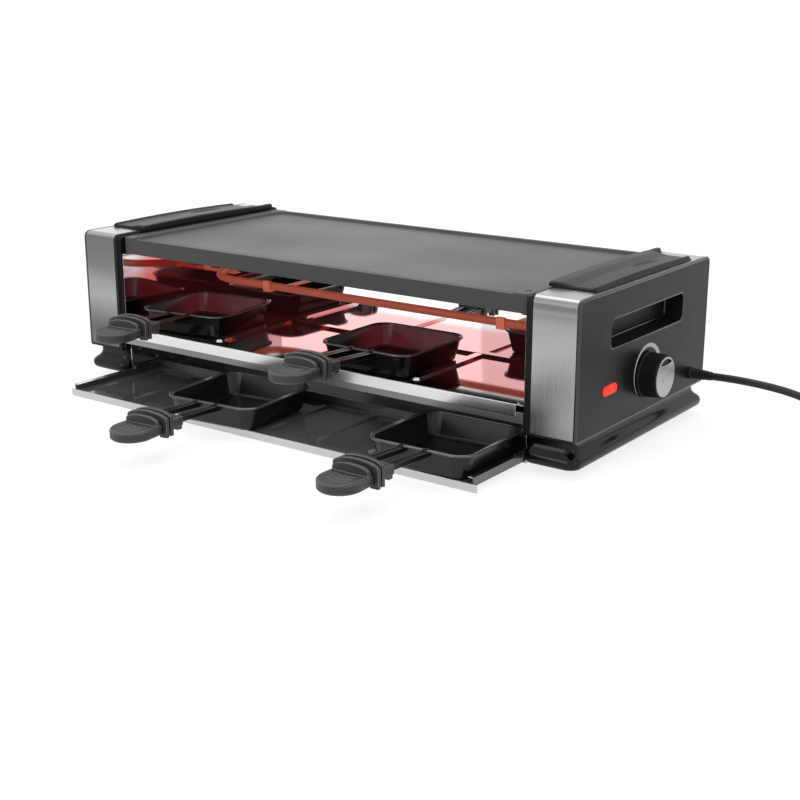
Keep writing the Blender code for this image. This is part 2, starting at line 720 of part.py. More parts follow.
def make_liner(shop, name, side):
    """Polished sheet bent under the deck and under the grill plate."""
    top = PLATE_BOTTOM - FIT
    bottom = DECK_BOTTOM - FIT - SHEET
    edge = LINER_FACE - LINER_FLANGE
    outline = (
        (LINER_X, bottom), (LINER_X, top), (edge, top), (edge, top - SHEET),
        (LINER_FACE, top - SHEET), (LINER_FACE, bottom + SHEET), (edge, bottom + SHEET), (edge, bottom),
    )
    sheet = add_prism(bmesh.new(), outline, "Y", -LINER_DEPTH / 2, LINER_DEPTH / 2)
    liner = shop.piece(name, mirrored(sheet, side), "polished_steel")
    if side > 0:
        shop.combine(liner, "heater_holes", heater_holes(LINER_FACE - OVERRUN, LINER_X + OVERRUN))


def grip_strip_section(y, height):
    """Ring across the carrying grip: inner land, slope, dish and outer ridge."""
    inner = INNER_WALL_X + GRIP_STRIP_INSET
    outer = inner + GRIP_STRIP_WIDTH
    bottom = HOUSING_TOP + FIT
    top = bottom + height
    ridge = outer - GRIP_STRIP_DRAFT
    outline = (
        (outer, bottom), (ridge, top - GRIP_RIDGE_DROP), (ridge - GRIP_RIDGE, top - GRIP_RIDGE_DROP),
        (ridge - GRIP_RIDGE - GRIP_RIDGE_SLOPE, top - GRIP_DISH),
        (inner + GRIP_LAND + GRIP_FACET, top - GRIP_DISH), (inner + GRIP_LAND, top),
        (inner + GRIP_STRIP_EDGE, top), (inner, top - GRIP_STRIP_EDGE), (inner, bottom),
    )
    return [(x, y, z) for x, z in outline]


def make_grip_strip(shop, name, side):
    """Low black carrying grip with a dished top and a scoop for the fingers."""
    half = GRIP_STRIP_LENGTH / 2
    sections = [grip_strip_section(GRIP_STRIP_SETBACK - half, GRIP_STRIP_HEIGHT - GRIP_STRIP_EDGE)]
    for step in range(GRIP_STRIP_STEPS + 1):
        share = 2 * step / GRIP_STRIP_STEPS - 1
        height = GRIP_STRIP_HEIGHT + GRIP_STRIP_CROWN * (1 - share * share)
        sections.append(grip_strip_section(GRIP_STRIP_SETBACK + share * (half - GRIP_STRIP_END), height))
    sections.append(grip_strip_section(GRIP_STRIP_SETBACK + half, GRIP_STRIP_HEIGHT - GRIP_STRIP_EDGE))
    strip = shop.piece(name, mirrored(add_loft(bmesh.new(), sections), side), "black_plastic")
    inner = INNER_WALL_X + GRIP_STRIP_INSET
    bottom = HOUSING_TOP + FIT
    end = GRIP_STRIP_SETBACK + half
    tail = []
    for inset, level in ((0.0, bottom), (0.0, bottom + GRIP_STRIP_HEIGHT / 2), (GRIP_STRIP_EDGE, bottom + GRIP_STRIP_HEIGHT)):
        outline = rounded_outline(
            inner + inset, inner + GRIP_TAIL_WIDTH - inset, end - GRIP_STRIP_HEIGHT, end + GRIP_TAIL_LENGTH - inset,
            GRIP_STRIP_EDGE, GRIP_TAIL_WIDTH / 2 - inset,
        )
        tail.append(placed(outline, "Z", level - FIT / 2 if level > bottom else level))
    shop.combine(strip, "tail", mirrored(add_loft(bmesh.new(), tail), side), "UNION")
    scoop = bmesh.new()
    size = Matrix.Diagonal((SCOOP_WIDTH / 2, SCOOP_LENGTH / 2, SCOOP_DEPTH, 1.0))
    dish_top = bottom + GRIP_STRIP_HEIGHT + GRIP_STRIP_CROWN - GRIP_DISH
    middle = inner + GRIP_LAND + GRIP_FACET + SCOOP_WIDTH / 2
    centre = Matrix.Translation((middle, GRIP_STRIP_SETBACK + SCOOP_ALONG, dish_top))
    bmesh.ops.create_uvsphere(scoop, u_segments=16, v_segments=8, radius=1.0, matrix=centre @ size)
    shop.combine(strip, "scoop", mirrored(scoop, side))


def add_ridge(bm, length, width, centre, base, top):
    """Stamped ridge with sloping sides."""
    slope = 2 * RIDGE_SLOPE
    narrow = min(length, width)
    for_base = centred_outline(length, width, narrow * 0.45, 3)
    for_top = centred_outline(length - slope, width - slope, (narrow - slope) * 0.45, 3)
    sections = [placed(shifted(for_base, *centre), "Z", base), placed(shifted(for_top, *centre), "Z", top)]
    return add_loft(bm, sections)


def make_deck(shop):
    """Pan deck with stamped ridges between the places."""
    corner = Vector((DECK_HALF_LENGTH, DECK_HALF_DEPTH, 0.0))
    low = -corner + Vector((0.0, 0.0, DECK_BOTTOM))
    high = corner + Vector((0.0, 0.0, DECK_TOP))
    deck = shop.piece("pan_deck", add_box(bmesh.new(), low, high), "polished_steel")
    base = DECK_TOP - DECK_SHEET / 2
    top = DECK_TOP + RIDGE_HEIGHT
    spine = add_ridge(
        bmesh.new(), 2 * (DECK_HALF_LENGTH - RIDGE_END_GAP), RIDGE_WIDTH, (0.0, 0.0),
        base + SPINE_RISE, top + SPINE_RISE,
    )
    shop.combine(deck, "spine", spine, "UNION")
    for index in range(1, PLACES_A_SIDE):
        rib = add_ridge(
            bmesh.new(), RIDGE_WIDTH, 2 * (DECK_HALF_DEPTH - RIDGE_END_GAP),
            ((index - PLACES_A_SIDE / 2) * PLACE_PITCH, 0.0), base, top,
        )
        shop.combine(deck, f"ridge_{index}", rib, "UNION")


def make_deck_lip(shop, name, row):
    """Bright angle strip along a deck edge."""
    ledge = DECK_BOTTOM - FIT
    front = LIP_BACK + SHEET
    foot = DECK_TOP - LIP_HEIGHT
    outline = (
        (-front, foot), (-LIP_BACK, foot), (-LIP_BACK, ledge - SHEET), (-LIP_BACK + LIP_LEDGE, ledge - SHEET),
        (-LIP_BACK + LIP_LEDGE, ledge), (-LIP_BACK, ledge), (-LIP_BACK, DECK_TOP), (-front, DECK_TOP),
    )
    half = LINER_FACE - LINER_FLANGE - FIT
    shop.piece(name, flipped(add_prism(bmesh.new(), outline, "X", -half, half), row), "polished_steel")


def make_shield(shop):
    """Heat shield under the deck, with its edges folded down."""
    outer = LIP_BACK - FIT
    inner = outer - SHEET
    foot = SHIELD_TOP - SHIELD_FLANGE
    outline = (
        (-outer, foot), (-inner, foot), (-inner, SHIELD_BOTTOM), (inner, SHIELD_BOTTOM),
        (inner, foot), (outer, foot), (outer, SHIELD_TOP), (-outer, SHIELD_TOP),
    )
    shield = add_prism(bmesh.new(), outline, "X", -LINER_X, LINER_X)
    shop.piece("base_shield", shield, "grey_steel")


def make_guide(shop, name, side):
    """Folded side rail that carries the trays and the shield."""
    outside = LINER_X
    inside = outside - GUIDE_SHEET
    edge = inside - GUIDE_LEDGE
    bottom = TRAY_BASE - FIT - GUIDE_SHEET
    rail = TRAY_TOP + TRAY_RAIL_HEIGHT + FIT
    top = SHIELD_BOTTOM - FIT
    outline = (
        (outside, bottom), (outside, top), (edge, top), (edge, top - GUIDE_SHEET),
        (inside, top - GUIDE_SHEET), (inside, rail + GUIDE_SHEET), (edge, rail + GUIDE_SHEET),
        (edge, rail), (inside, rail), (inside, bottom + GUIDE_SHEET),
        (edge, bottom + GUIDE_SHEET), (edge, bottom),
    )
    guide = add_prism(bmesh.new(), outline, "Y", -GUIDE_DEPTH / 2, GUIDE_DEPTH / 2)
    shop.piece(name, mirrored(guide, side), "black_steel")


def make_tray(shop, name, row):
    """Coated tray with pockets between low ribs and an upright rail at each side."""
    half = TRAY_HALF_LENGTH
    rail_top = TRAY_TOP + TRAY_RAIL_HEIGHT
    outline = (
        (-half, TRAY_BASE), (half, TRAY_BASE), (half, rail_top), (half - TRAY_RAIL, rail_top),
        (half - TRAY_RAIL, TRAY_TOP), (-half + TRAY_RAIL, TRAY_TOP),
        (-half + TRAY_RAIL, rail_top), (-half, rail_top),
    )
    origin = (0.0, row * (TRAY_FRONT + TRAY_BACK) / 2, TRAY_BASE)
    front = -TRAY_FRONT + TRAY_LIP + FIT
    body = add_prism(bmesh.new(), outline, "Y", front, -TRAY_BACK)
    tray = shop.piece(name, flipped(body, row), "tray_coating", origin)
    skirt = add_box(
        bmesh.new(), (-half, front, TRAY_TOP - TRAY_LIP_DROP + FIT), (half, front + TRAY_RAIL, TRAY_BASE + FIT),
    )
    shop.combine(tray, "skirt", flipped(skirt, row), "UNION")
    stop = add_box(
        bmesh.new(), (-half + TRAY_RAIL / 2, -TRAY_BACK - TRAY_RAIL, TRAY_TOP - TRAY_FLOOR / 2),
        (half - TRAY_RAIL / 2, -TRAY_BACK, rail_top),
    )
    shop.combine(tray, "stop", flipped(stop, row), "UNION")
    pockets = bmesh.new()
    field = 2 * (half - TRAY_RAIL - TRAY_MARGIN) + TRAY_RIB
    pitch = field / TRAY_POCKETS
    depth = TRAY_DEPTH - 2 * TRAY_MARGIN
    middle = (front - TRAY_BACK) / 2
    slope = 2 * TRAY_POCKET_SLOPE
    for index in range(TRAY_POCKETS):
        centre = ((index + 0.5) * pitch - field / 2, middle)
        low = centred_outline(pitch - TRAY_RIB - slope, depth - slope, TRAY_POCKET_SLOPE, 2)
        high = centred_outline(pitch - TRAY_RIB + slope, depth + slope, 3 * TRAY_POCKET_SLOPE, 2)
        sections = [
            placed(shifted(low, *centre), "Z", TRAY_TOP - TRAY_POCKET_DEPTH),
            placed(shifted(high, *centre), "Z", TRAY_TOP + TRAY_POCKET_DEPTH),
        ]
        add_loft(pockets, sections)
    shop.combine(tray, "pockets", flipped(pockets, row))
    return tray


def make_tray_lip(shop, name, row, tray):
    """Stainless strip along a tray's front edge."""
    front = -TRAY_FRONT
    back = front + TRAY_LIP
    foot = TRAY_TOP - TRAY_LIP_DROP - TRAY_LIP - FIT
    outline = (
        (front, foot), (back + TRAY_LIP_RETURN, foot), (back + TRAY_LIP_RETURN, foot + TRAY_LIP),
        (back, foot + TRAY_LIP), (back, TRAY_TOP), (front, TRAY_TOP),
    )
    half = TRAY_HALF_LENGTH + TRAY_LIP_WRAP
    lip = add_prism(bmesh.new(), outline, "X", -half, half)
    bmesh.ops.translate(flipped(lip, row), verts=lip.verts, vec=-tray.location)
    item = bpy.data.objects.new(name, mesh_from(lip, name))
    shop.place(item, name, "brushed_steel", (0.0, 0.0, 0.0), tray)
    ends = bmesh.new()
    for side in (-1, 1):
        near, far = sorted((side * TRAY_HALF_LENGTH, side * (half + OVERRUN)))
        add_box(
            ends, (near, back, foot - OVERRUN), (far, back + TRAY_LIP_RETURN + OVERRUN, foot + TRAY_LIP + OVERRUN),
        )
    shop.combine(item, "return_ends", flipped(ends, row))


def make_plate(shop):
    """Cast grill plate with a sunk cooking surface and a hollow underside."""
    half_depth = PLATE_DEPTH / 2
    sections = []
    for inset, level in ((0.0, PLATE_BOTTOM), (0.0, PLATE_TOP - PLATE_EDGE), (PLATE_EDGE, PLATE_TOP)):
        outline = centred_outline(
            2 * (PLATE_HALF_LENGTH - inset), PLATE_DEPTH - 2 * inset, PLATE_CORNER - inset,
        )
        sections.append(placed(outline, "Z", level))
    origin = (0.0, 0.0, PLATE_BOTTOM)
    plate = shop.piece("grill_plate", add_loft(bmesh.new(), sections), "plate_coating", origin)
    floor_top = PLATE_TOP - PLATE_RECESS
    hollow = bmesh.new()
    reach = PLATE_HALF_LENGTH - PLATE_SKIRT
    add_box(
        hollow, (-reach, -half_depth + PLATE_SKIRT, PLATE_BOTTOM - OVERRUN),
        (reach, half_depth - PLATE_SKIRT, floor_top - PLATE_FLOOR),
    )
    shop.combine(plate, "hollow", hollow)
    strip = PLATE_HALF_LENGTH - PLATE_END_STRIP
    low = rounded_outline(
        -strip, strip, -half_depth + PLATE_FRONT_LIP + PLATE_RECESS_DRAFT,
        half_depth - PLATE_REAR_RIM - PLATE_RECESS_DRAFT, PLATE_CORNER, PLATE_CORNER,
    )
    high = rounded_outline(
        -strip - PLATE_RECESS_DRAFT, strip + PLATE_RECESS_DRAFT, -half_depth + PLATE_FRONT_LIP,
        half_depth - PLATE_REAR_RIM, PLATE_CORNER + PLATE_RECESS_DRAFT, PLATE_CORNER + PLATE_RECESS_DRAFT,
    )
    recess = add_loft(bmesh.new(), [placed(low, "Z", floor_top), placed(high, "Z", PLATE_TOP)])
    lid = [vert for vert in recess.verts if vert.co.z > PLATE_TOP - FIT]
    bmesh.ops.translate(recess, verts=lid, vec=Vector((0.0, 0.0, FIT)))
    shop.combine(plate, "surface", recess)
    steps = add_box(
        bmesh.new(), (-strip, half_depth - PLATE_REAR_STEP, PLATE_TOP - PLATE_STEP_DROP),
        (strip, half_depth + OVERRUN, PLATE_TOP + OVERRUN),
    )
    add_box(
        steps, (-strip, -half_depth - OVERRUN, PLATE_TOP - PLATE_STEP_DROP),
        (strip, -half_depth + PLATE_FRONT_LIP + PLATE_RECESS_DRAFT / 2, PLATE_TOP + OVERRUN),
    )
    shop.combine(plate, "steps", steps)
    pegs = bmesh.new()
    peg = centred_outline(PEG_WIDTH, PEG_LENGTH, PEG_WIDTH * 0.48, 3)
    along = PLATE_HALF_LENGTH - PLATE_END_STRIP / 2
    across = half_depth - PEG_FROM_END - PEG_LENGTH / 2
    for side in (-1, 1):
        for row in (-1, 1):
            hole = shifted(peg, side * along, row * across)
            add_prism(pegs, hole, "Z", PLATE_TOP - PEG_DEPTH, PLATE_TOP + OVERRUN)
    shop.combine(plate, "peg_holes", pegs)


def heater_points():
    """Path of the heating tube: in from the right housing, round the bend and back."""
    radius = HEATER_SPREAD / 2
    start = LINER_X + HEATER_COLD_END
    bend = -LINER_FACE + HEATER_BEND_GAP + HEATER_DIAMETER / 2 + radius
    points = [(start, -radius, HEATER_Z)]
    steps = 12
    for step in range(steps + 1):
        angle = -pi / 2 - pi * step / steps
        points.append((bend + radius * cos(angle), radius * sin(angle), HEATER_Z))
    points.append((start, radius, HEATER_Z))
    return points


def make_heater(shop):
    """Sheathed heating tube bent into a long U."""
    shop.tube("heating_tube", heater_points(), HEATER_DIAMETER, 2, "heater_sheath")


def make_heater_clip(shop, name, share):
    """Steel cross strip whose ends hook round both runs of the heating tube."""
    middle = share * LINER_FACE
    run = HEATER_SPREAD / 2
    hold = HEATER_DIAMETER / 2 + FIT
    inner = run + hold
    outer = inner + CLIP_STRIP
    low = HEATER_Z - hold
    high = HEATER_Z + hold
    right = [
        (outer, low - CLIP_STRIP), (outer, high + CLIP_STRIP), (outer - CLIP_LIP, high + CLIP_STRIP),
        (outer - CLIP_LIP, high), (inner, high), (inner, low),
    ]
    left = [(-y, z) for y, z in right[::-1]]
    strip = add_prism(bmesh.new(), right + left, "X", middle - CLIP_WIDTH / 2, middle + CLIP_WIDTH / 2)
    shop.piece(name, strip, "grey_steel")


def make_heater_holder(shop):
    """Angle on the left liner that carries the bend of the heating tube."""
    arm_top = HEATER_Z - HEATER_DIAMETER / 2 - FIT
    arm_bottom = arm_top - CLIP_STRIP
    wall = -LINER_FACE + FIT
    reach = -LINER_FACE + HEATER_BEND_GAP + HOLDER_OVERLAP
    outline = (
        (wall, arm_bottom), (reach, arm_bottom), (reach, arm_top), (wall + CLIP_STRIP, arm_top),
        (wall + CLIP_STRIP, arm_bottom + HOLDER_TAB), (wall, arm_bottom + HOLDER_TAB),
    )
    holder = add_prism(bmesh.new(), outline, "Y", -HOLDER_WIDTH / 2, HOLDER_WIDTH / 2)
    shop.piece("heater_holder", holder, "grey_steel")


def make_thermostat(shop):
    """Thermostat body behind the cover, with a bore for its shaft."""
    front = COVER_INSIDE - FIT
    body = add_box(
        bmesh.new(), (front - THERMOSTAT_DEPTH, -THERMOSTAT_WIDTH / 2, CONTROL_Z - THERMOSTAT_HEIGHT / 2),
        (front, THERMOSTAT_WIDTH / 2, CONTROL_Z + THERMOSTAT_HEIGHT / 2),
    )
    item = shop.piece("thermostat_body", body, "phenolic")
    bore = add_cylinder(
        bmesh.new(), SHAFT_DIAMETER + 2 * FIT, front - SHAFT_IN_BODY - FIT, front + OVERRUN, (0.0, CONTROL_Z),
    )
    shop.combine(item, "bore", bore)


def make_shaft(shop, knob_frame):
    """Turned shaft from the thermostat into the knob."""
    start = COVER_INSIDE - FIT - SHAFT_IN_BODY
    end = KNOB_BACK + SHAFT_IN_KNOB
    origin = (start - KNOB_BACK, 0.0, 0.0)
    radius = SHAFT_DIAMETER / 2
    length = end - start
    profile = ((0.0, length), (radius, length), (radius, 0.0), (0.0, 0.0))
    shop.turned("thermostat_shaft", profile, "grey_steel", origin, (0.0, pi / 2, 0.0), knob_frame)


def knurled_ring(radius, level):
    """Ring of shallow ribs about the knob's axis."""
    ring = []
    count = 2 * KNOB_RIBS
    for index in range(count):
        angle = tau * index / count
        reach = radius - (KNOB_RIB_DEPTH if index % 2 else 0.0)
        ring.append((level, reach * cos(angle), reach * sin(angle)))
    return ring


def make_knob(shop):
    """Ribbed knob, its silver cap and its shaft, on an empty at the axis."""
    frame = bpy.data.objects.new("knob_axis", None)
    frame.parent = shop.frame
    frame.location = (KNOB_BACK, 0.0, CONTROL_Z)
    shop.parts.objects.link(frame)
    radius = KNOB_DIAMETER / 2
    tip = radius - KNOB_TAPER
    sections = [
        knurled_ring(radius, KNOB_BACK), knurled_ring(tip, KNOB_FRONT - KNOB_EDGE),
        knurled_ring(tip - KNOB_EDGE, KNOB_FRONT),
    ]
    body = add_loft(bmesh.new(), sections)
    bmesh.ops.translate(body, verts=body.verts, vec=Vector((-KNOB_BACK, 0.0, 0.0)))
    knob = shop.place(
        bpy.data.objects.new("knob", mesh_from(body, "knob")), "knob", "black_plastic", (0.0, 0.0, 0.0), frame,
    )
    hollow = add_cylinder(
        bmesh.new(), CAP_DIAMETER + 2 * FIT, KNOB_FRONT + CAP_PROUD - CAP_THICKNESS - FIT,
        KNOB_FRONT + OVERRUN, (0.0, CONTROL_Z), 28,
    )
    shop.combine(knob, "cap_seat", hollow)
    bore = add_cylinder(
        bmesh.new(), SHAFT_DIAMETER + 2 * FIT, KNOB_BACK - OVERRUN, KNOB_BACK + SHAFT_IN_KNOB + FIT,
        (0.0, CONTROL_Z),
    )
    shop.combine(knob, "shaft_bore", bore)
    make_cap(shop, frame)
    make_shaft(shop, frame)


def window_outline():
    """Crescent below the cap's upper rim, in Y and Z about the knob's axis."""
    outer = CAP_DIAMETER / 2 - WINDOW_RIM
    side = outer * sin(WINDOW_ANGLE)
    foot = outer * cos(WINDOW_ANGLE)
    sag = outer - WINDOW_DEPTH - foot
    upper = []
    lower = []
    for step in range(WINDOW_STEPS + 1):
        share = 2 * step / WINDOW_STEPS - 1
        upper.append((outer * sin(WINDOW_ANGLE * share), outer * cos(WINDOW_ANGLE * share)))
        lower.append((side * share, foot + sag * (1 - share * share)))
    return upper + lower[-2:0:-1]


def make_cap(shop, frame):
    """Silver disc in the knob's face, with a crescent window that points to the scale."""
    back = KNOB_FRONT + CAP_PROUD - CAP_THICKNESS
    disc = add_cylinder(bmesh.new(), CAP_DIAMETER, back, back + CAP_THICKNESS, (0.0, CONTROL_Z), 28)
    bmesh.ops.translate(disc, verts=disc.verts, vec=Vector((-KNOB_BACK, 0.0, -CONTROL_Z)))
    cap = shop.place(
        bpy.data.objects.new("knob_cap", mesh_from(disc, "knob_cap")), "knob_cap", "cap_silver",
        (0.0, 0.0, 0.0), frame,
    )
    window = [(u, v + CONTROL_Z) for u, v in window_outline()]
    shop.combine(cap, "window", add_prism(bmesh.new(), window, "X", back - OVERRUN, KNOB_FRONT + OVERRUN))


def make_lamp(shop):
    """Red signal lens in the cover and the holder behind it."""
    lens = add_prism(bmesh.new(), lamp_outline(), "X", COVER_INSIDE, HALF_LENGTH + LAMP_PROUD)
    shop.piece("signal_lens", lens, "lamp_red")
    front = COVER_INSIDE - FIT
    middle = HOUSING_BOTTOM + LAMP_RISE
    half = LAMP_LENGTH / 2
    holder = add_box(
        bmesh.new(), (front - LAMP_HOLDER_DEPTH, LAMP_ALONG - half, middle - LAMP_HOLDER_SIZE / 2),
        (front, LAMP_ALONG + half, middle + LAMP_HOLDER_SIZE / 2),
    )
    shop.piece("lamp_holder", holder, "ceramic")


def make_terminal_block(shop):
    """Ceramic block that joins the cord to the heater."""
    front = COVER_INSIDE - FIT
    middle = HOUSING_BOTTOM + TERMINAL_RISE
    low = Vector((front - TERMINAL_DEPTH, TERMINAL_ALONG - TERMINAL_LENGTH / 2, middle - TERMINAL_HEIGHT / 2))
    high = Vector((front, TERMINAL_ALONG + TERMINAL_LENGTH / 2, middle + TERMINAL_HEIGHT / 2))
    block = shop.piece("terminal_block", add_box(bmesh.new(), low, high), "ceramic")
    ways = bmesh.new()
    pitch = TERMINAL_LENGTH / TERMINAL_WAYS
    half = TERMINAL_BORE / 2
    for way in range(TERMINAL_WAYS):
        y = low.y + (way + 0.5) * pitch
        x = (low.x + high.x) / 2
        add_box(ways, (x - half, y - half, low.z - OVERRUN), (x + half, y + half, high.z + OVERRUN))
    shop.combine(block, "ways", ways)


def pan_section(inset, level):
    """Rounded square ring of a pan, drawn in from the rim."""
    size = PAN_SIZE - 2 * inset
    return placed(centred_outline(size, size, max(PAN_CORNER - inset, PAN_FILLET)), "Z", level)


def add_arms(bm, grow=0.0, reach=0.0):
    """Two grooved rails that climb towards -Y, grown by a clearance and lengthened by reach."""
    top = PAN_HEIGHT - ARM_BELOW_RIM + grow
    bottom = PAN_HEIGHT - ARM_BELOW_RIM - ARM_HEIGHT - grow
    half = ARM_WIDTH / 2 + grow
    groove = ARM_GROOVE / 2
    dip = top - ARM_GROOVE_DEPTH
    outline = [(-half, bottom), (half, bottom), (half, top)]
    if not grow:
        outline += [(groove, top), (groove, dip), (-groove, dip), (-groove, top)]
    outline.append((-half, top))
    rim = -PAN_SIZE / 2
    for side in (-1, 1):
        rail = shifted(outline, side * ARM_SPREAD / 2, 0.0)
        add_prism(bm, rail, "Y", rim + ARM_ROOT, rim - ARM_LENGTH - reach)
    for vert in bm.verts:
        vert.co.z += ARM_CLIMB * (rim - vert.co.y) / BLOCK_START
    return bm


def pan_mesh(shop):
    """Pan with sloping walls, a flat rim and two welded arms."""
    rim = PAN_RIM
    wall = PAN_WALL
    foot = rim + PAN_DRAFT
    sections = [
        pan_section(foot + PAN_FILLET, 0.0), pan_section(foot, PAN_FILLET),
        pan_section(rim, PAN_HEIGHT - wall), pan_section(0.0, PAN_HEIGHT - wall),
        pan_section(0.0, PAN_HEIGHT), pan_section(rim + wall, PAN_HEIGHT),
        pan_section(foot + wall, PAN_FILLET + wall), pan_section(foot + wall + PAN_FILLET, wall),
    ]
    bm = add_loft(bmesh.new(), sections)
    body = bpy.data.objects.new("pan_body", mesh_from(bm, "pan_body"))
    shop.cutters.objects.link(body)
    arms = bpy.data.objects.new("pan_arms", mesh_from(add_arms(bmesh.new()), "pan_arms"))
    shop.cutters.objects.link(arms)
    return joined_mesh(body, [(arms, "UNION")], "raclette_pan")


def joined_mesh(body, tools, name):
    """Run Booleans on a scratch object, keep the mesh and remove the objects."""
    for tool, operation in tools:
        modifier = body.modifiers.new(tool.name, "BOOLEAN")
        modifier.solver = "EXACT"
        modifier.operation = operation
        modifier.object = tool
    depsgraph = bpy.context.evaluated_depsgraph_get()
    mesh = bpy.data.meshes.new_from_object(body.evaluated_get(depsgraph))
    for item in [body] + [tool for tool, _ in tools]:
        bpy.data.objects.remove(item, do_unlink=True)
    bm = bmesh.new()
    bm.from_mesh(mesh)
    bmesh.ops.triangulate(bm, faces=bm.faces)
    return mesh_from(bm, name)


def fin_outline(index):
    """Arched fin across the grip, in X and Z, with the rim's height as its zero."""
    half = FIN_WIDTH * FIN_WIDTH_SHARES[index] / 2
    shoulder = FIN_SHOULDER * FIN_SHOULDER_SHARES[index]
    rise = FIN_CROWN * FIN_CROWN_SHARES[index] - shoulder
    crown = []
    for step in range(FIN_STEPS + 1):
        angle = pi * step / FIN_STEPS
        crown.append((half * cos(angle), shoulder + rise * sin(angle)))
    if index == len(FIN_WIDTH_SHARES) - 1:
        foot = PADDLE_RISE - PADDLE_THICKNESS / 2
        return [(-half, foot), (half, foot)] + crown
    inside = NECK_WIDTH / 2
    ceiling = PADDLE_RISE - NECK_BELOW_PADDLE - NECK_HEIGHT / 2
    return [
        (-half, -FIN_FOOT), (-inside, -FIN_FOOT), (-inside, ceiling),
        (inside, ceiling), (inside, -FIN_FOOT), (half, -FIN_FOOT),
    ] + crown


def paddle_outline(inset):
    """Plan of the grip's paddle from its root to its round end, in X and Y."""
    half = PADDLE_WIDTH / 2 - inset
    straight = PADDLE_LENGTH - PADDLE_WIDTH * PADDLE_ROUND_SHARE
    curve = PADDLE_LENGTH - straight - inset
    points = []
    for step in range(PADDLE_STEPS + 1):
        angle = pi * step / PADDLE_STEPS
        points.append((-half * cos(angle), -straight - curve * sin(angle)))
    root = half * PADDLE_ROOT_SHARE
    return points + [(root, 0.0), (-root, 0.0)]


def groove_outline(index):
    """Crescent groove in the paddle's top, in X and Y from the paddle's root."""
    start = GROOVE_FIRST + index * GROOVE_PITCH
    span = GROOVE_SPAN / 2
    near = []
    far = []
    for step in range(GROOVE_STEPS + 1):
        share = 2 * step / GROOVE_STEPS - 1
        bow = GROOVE_BOW * (1 - share * share)
        near.append((span * share, -start - bow))
        far.append((span * share, -start - bow - GROOVE_WIDTH * (1 - share * share)))
    return near + far[-2:0:-1]


def grip_mesh(shop):
    """Moulded grip: block on the arms, arched fins, neck and dished paddle."""
    rim_y = -PAN_SIZE / 2
    rim_z = PAN_HEIGHT
    start = rim_y - BLOCK_START
    end = start - BLOCK_LENGTH
    top = rim_z + BLOCK_ABOVE_RIM
    sections = []
    for inset, y in ((BLOCK_EDGE, start), (0.0, start - BLOCK_EDGE), (0.0, end)):
        outline = rounded_outline(
            -BLOCK_WIDTH / 2 + inset, BLOCK_WIDTH / 2 - inset, top - BLOCK_HEIGHT + inset, top - inset,
            BLOCK_EDGE, BLOCK_EDGE, 2,
        )
        sections.append(placed(outline, "Y", y))
    tools = []

    def tool(name, bm, operation="UNION"):
        item = bpy.data.objects.new(name, mesh_from(bm, name))
        shop.cutters.objects.link(item)
        tools.append((item, operation))

    body = bpy.data.objects.new("grip_block", mesh_from(add_loft(bmesh.new(), sections), "grip_block"))
    shop.cutters.objects.link(body)
    sink = BLOCK_EDGE
    heel = add_box(
        bmesh.new(), (-BLOCK_WIDTH / 2 + BLOCK_EDGE, start - BLOCK_EDGE - HEEL_LENGTH, top - BLOCK_HEIGHT - HEEL_HEIGHT),
        (BLOCK_WIDTH / 2 - BLOCK_EDGE, start - BLOCK_EDGE, top - BLOCK_HEIGHT + sink),
    )
    tool("grip_heel", heel)
    first = end - FIN_FIRST
    last = first - FIN_PITCH * (len(FIN_WIDTH_SHARES) - 1)
    paddle_start = last + FIN_THICKNESS
    paddle_top = rim_z + PADDLE_RISE
    neck_top = paddle_top - NECK_BELOW_PADDLE
    neck = add_box(
        bmesh.new(), (-NECK_WIDTH / 2, paddle_start - sink, neck_top - NECK_HEIGHT),
        (NECK_WIDTH / 2, end + sink, neck_top),
    )
    tool("grip_neck", neck)
    paddle = []
    thick = PADDLE_THICKNESS
    edge = PADDLE_EDGE
    for inset, level in ((edge, -thick), (0.0, -thick + edge), (0.0, -edge), (edge, 0.0)):
        paddle.append(placed(shifted(paddle_outline(inset), 0.0, paddle_start), "Z", paddle_top + level))
    tool("grip_paddle", add_loft(bmesh.new(), paddle))
    dish = []
    for inset, level in ((PADDLE_BEAD + edge, -PADDLE_DISH), (PADDLE_BEAD, 0.0), (PADDLE_BEAD, OVERRUN)):
        dish.append(placed(shifted(paddle_outline(inset), 0.0, last), "Z", paddle_top + level))
    tool("grip_dish", add_loft(bmesh.new(), dish), "DIFFERENCE")
    grooves = bmesh.new()
    for index in range(GROOVE_COUNT):
        outline = shifted(groove_outline(index), 0.0, paddle_start)
        add_prism(grooves, outline, "Z", paddle_top - GROOVE_DEPTH - PADDLE_DISH, paddle_top + OVERRUN)
    tool("grip_grooves", grooves, "DIFFERENCE")
    for index in range(len(FIN_WIDTH_SHARES)):
        fin_y = first - index * FIN_PITCH + FIN_THICKNESS / 2
        fin = add_prism(bmesh.new(), shifted(fin_outline(index), 0.0, rim_z), "Y", fin_y, fin_y - FIN_THICKNESS)
        tool(f"grip_fin_{index}", fin)
    tool("grip_sockets", add_arms(bmesh.new(), SOCKET_GAP, SOCKET_GAP), "DIFFERENCE")
    return joined_mesh(body, tools, "pan_grip")


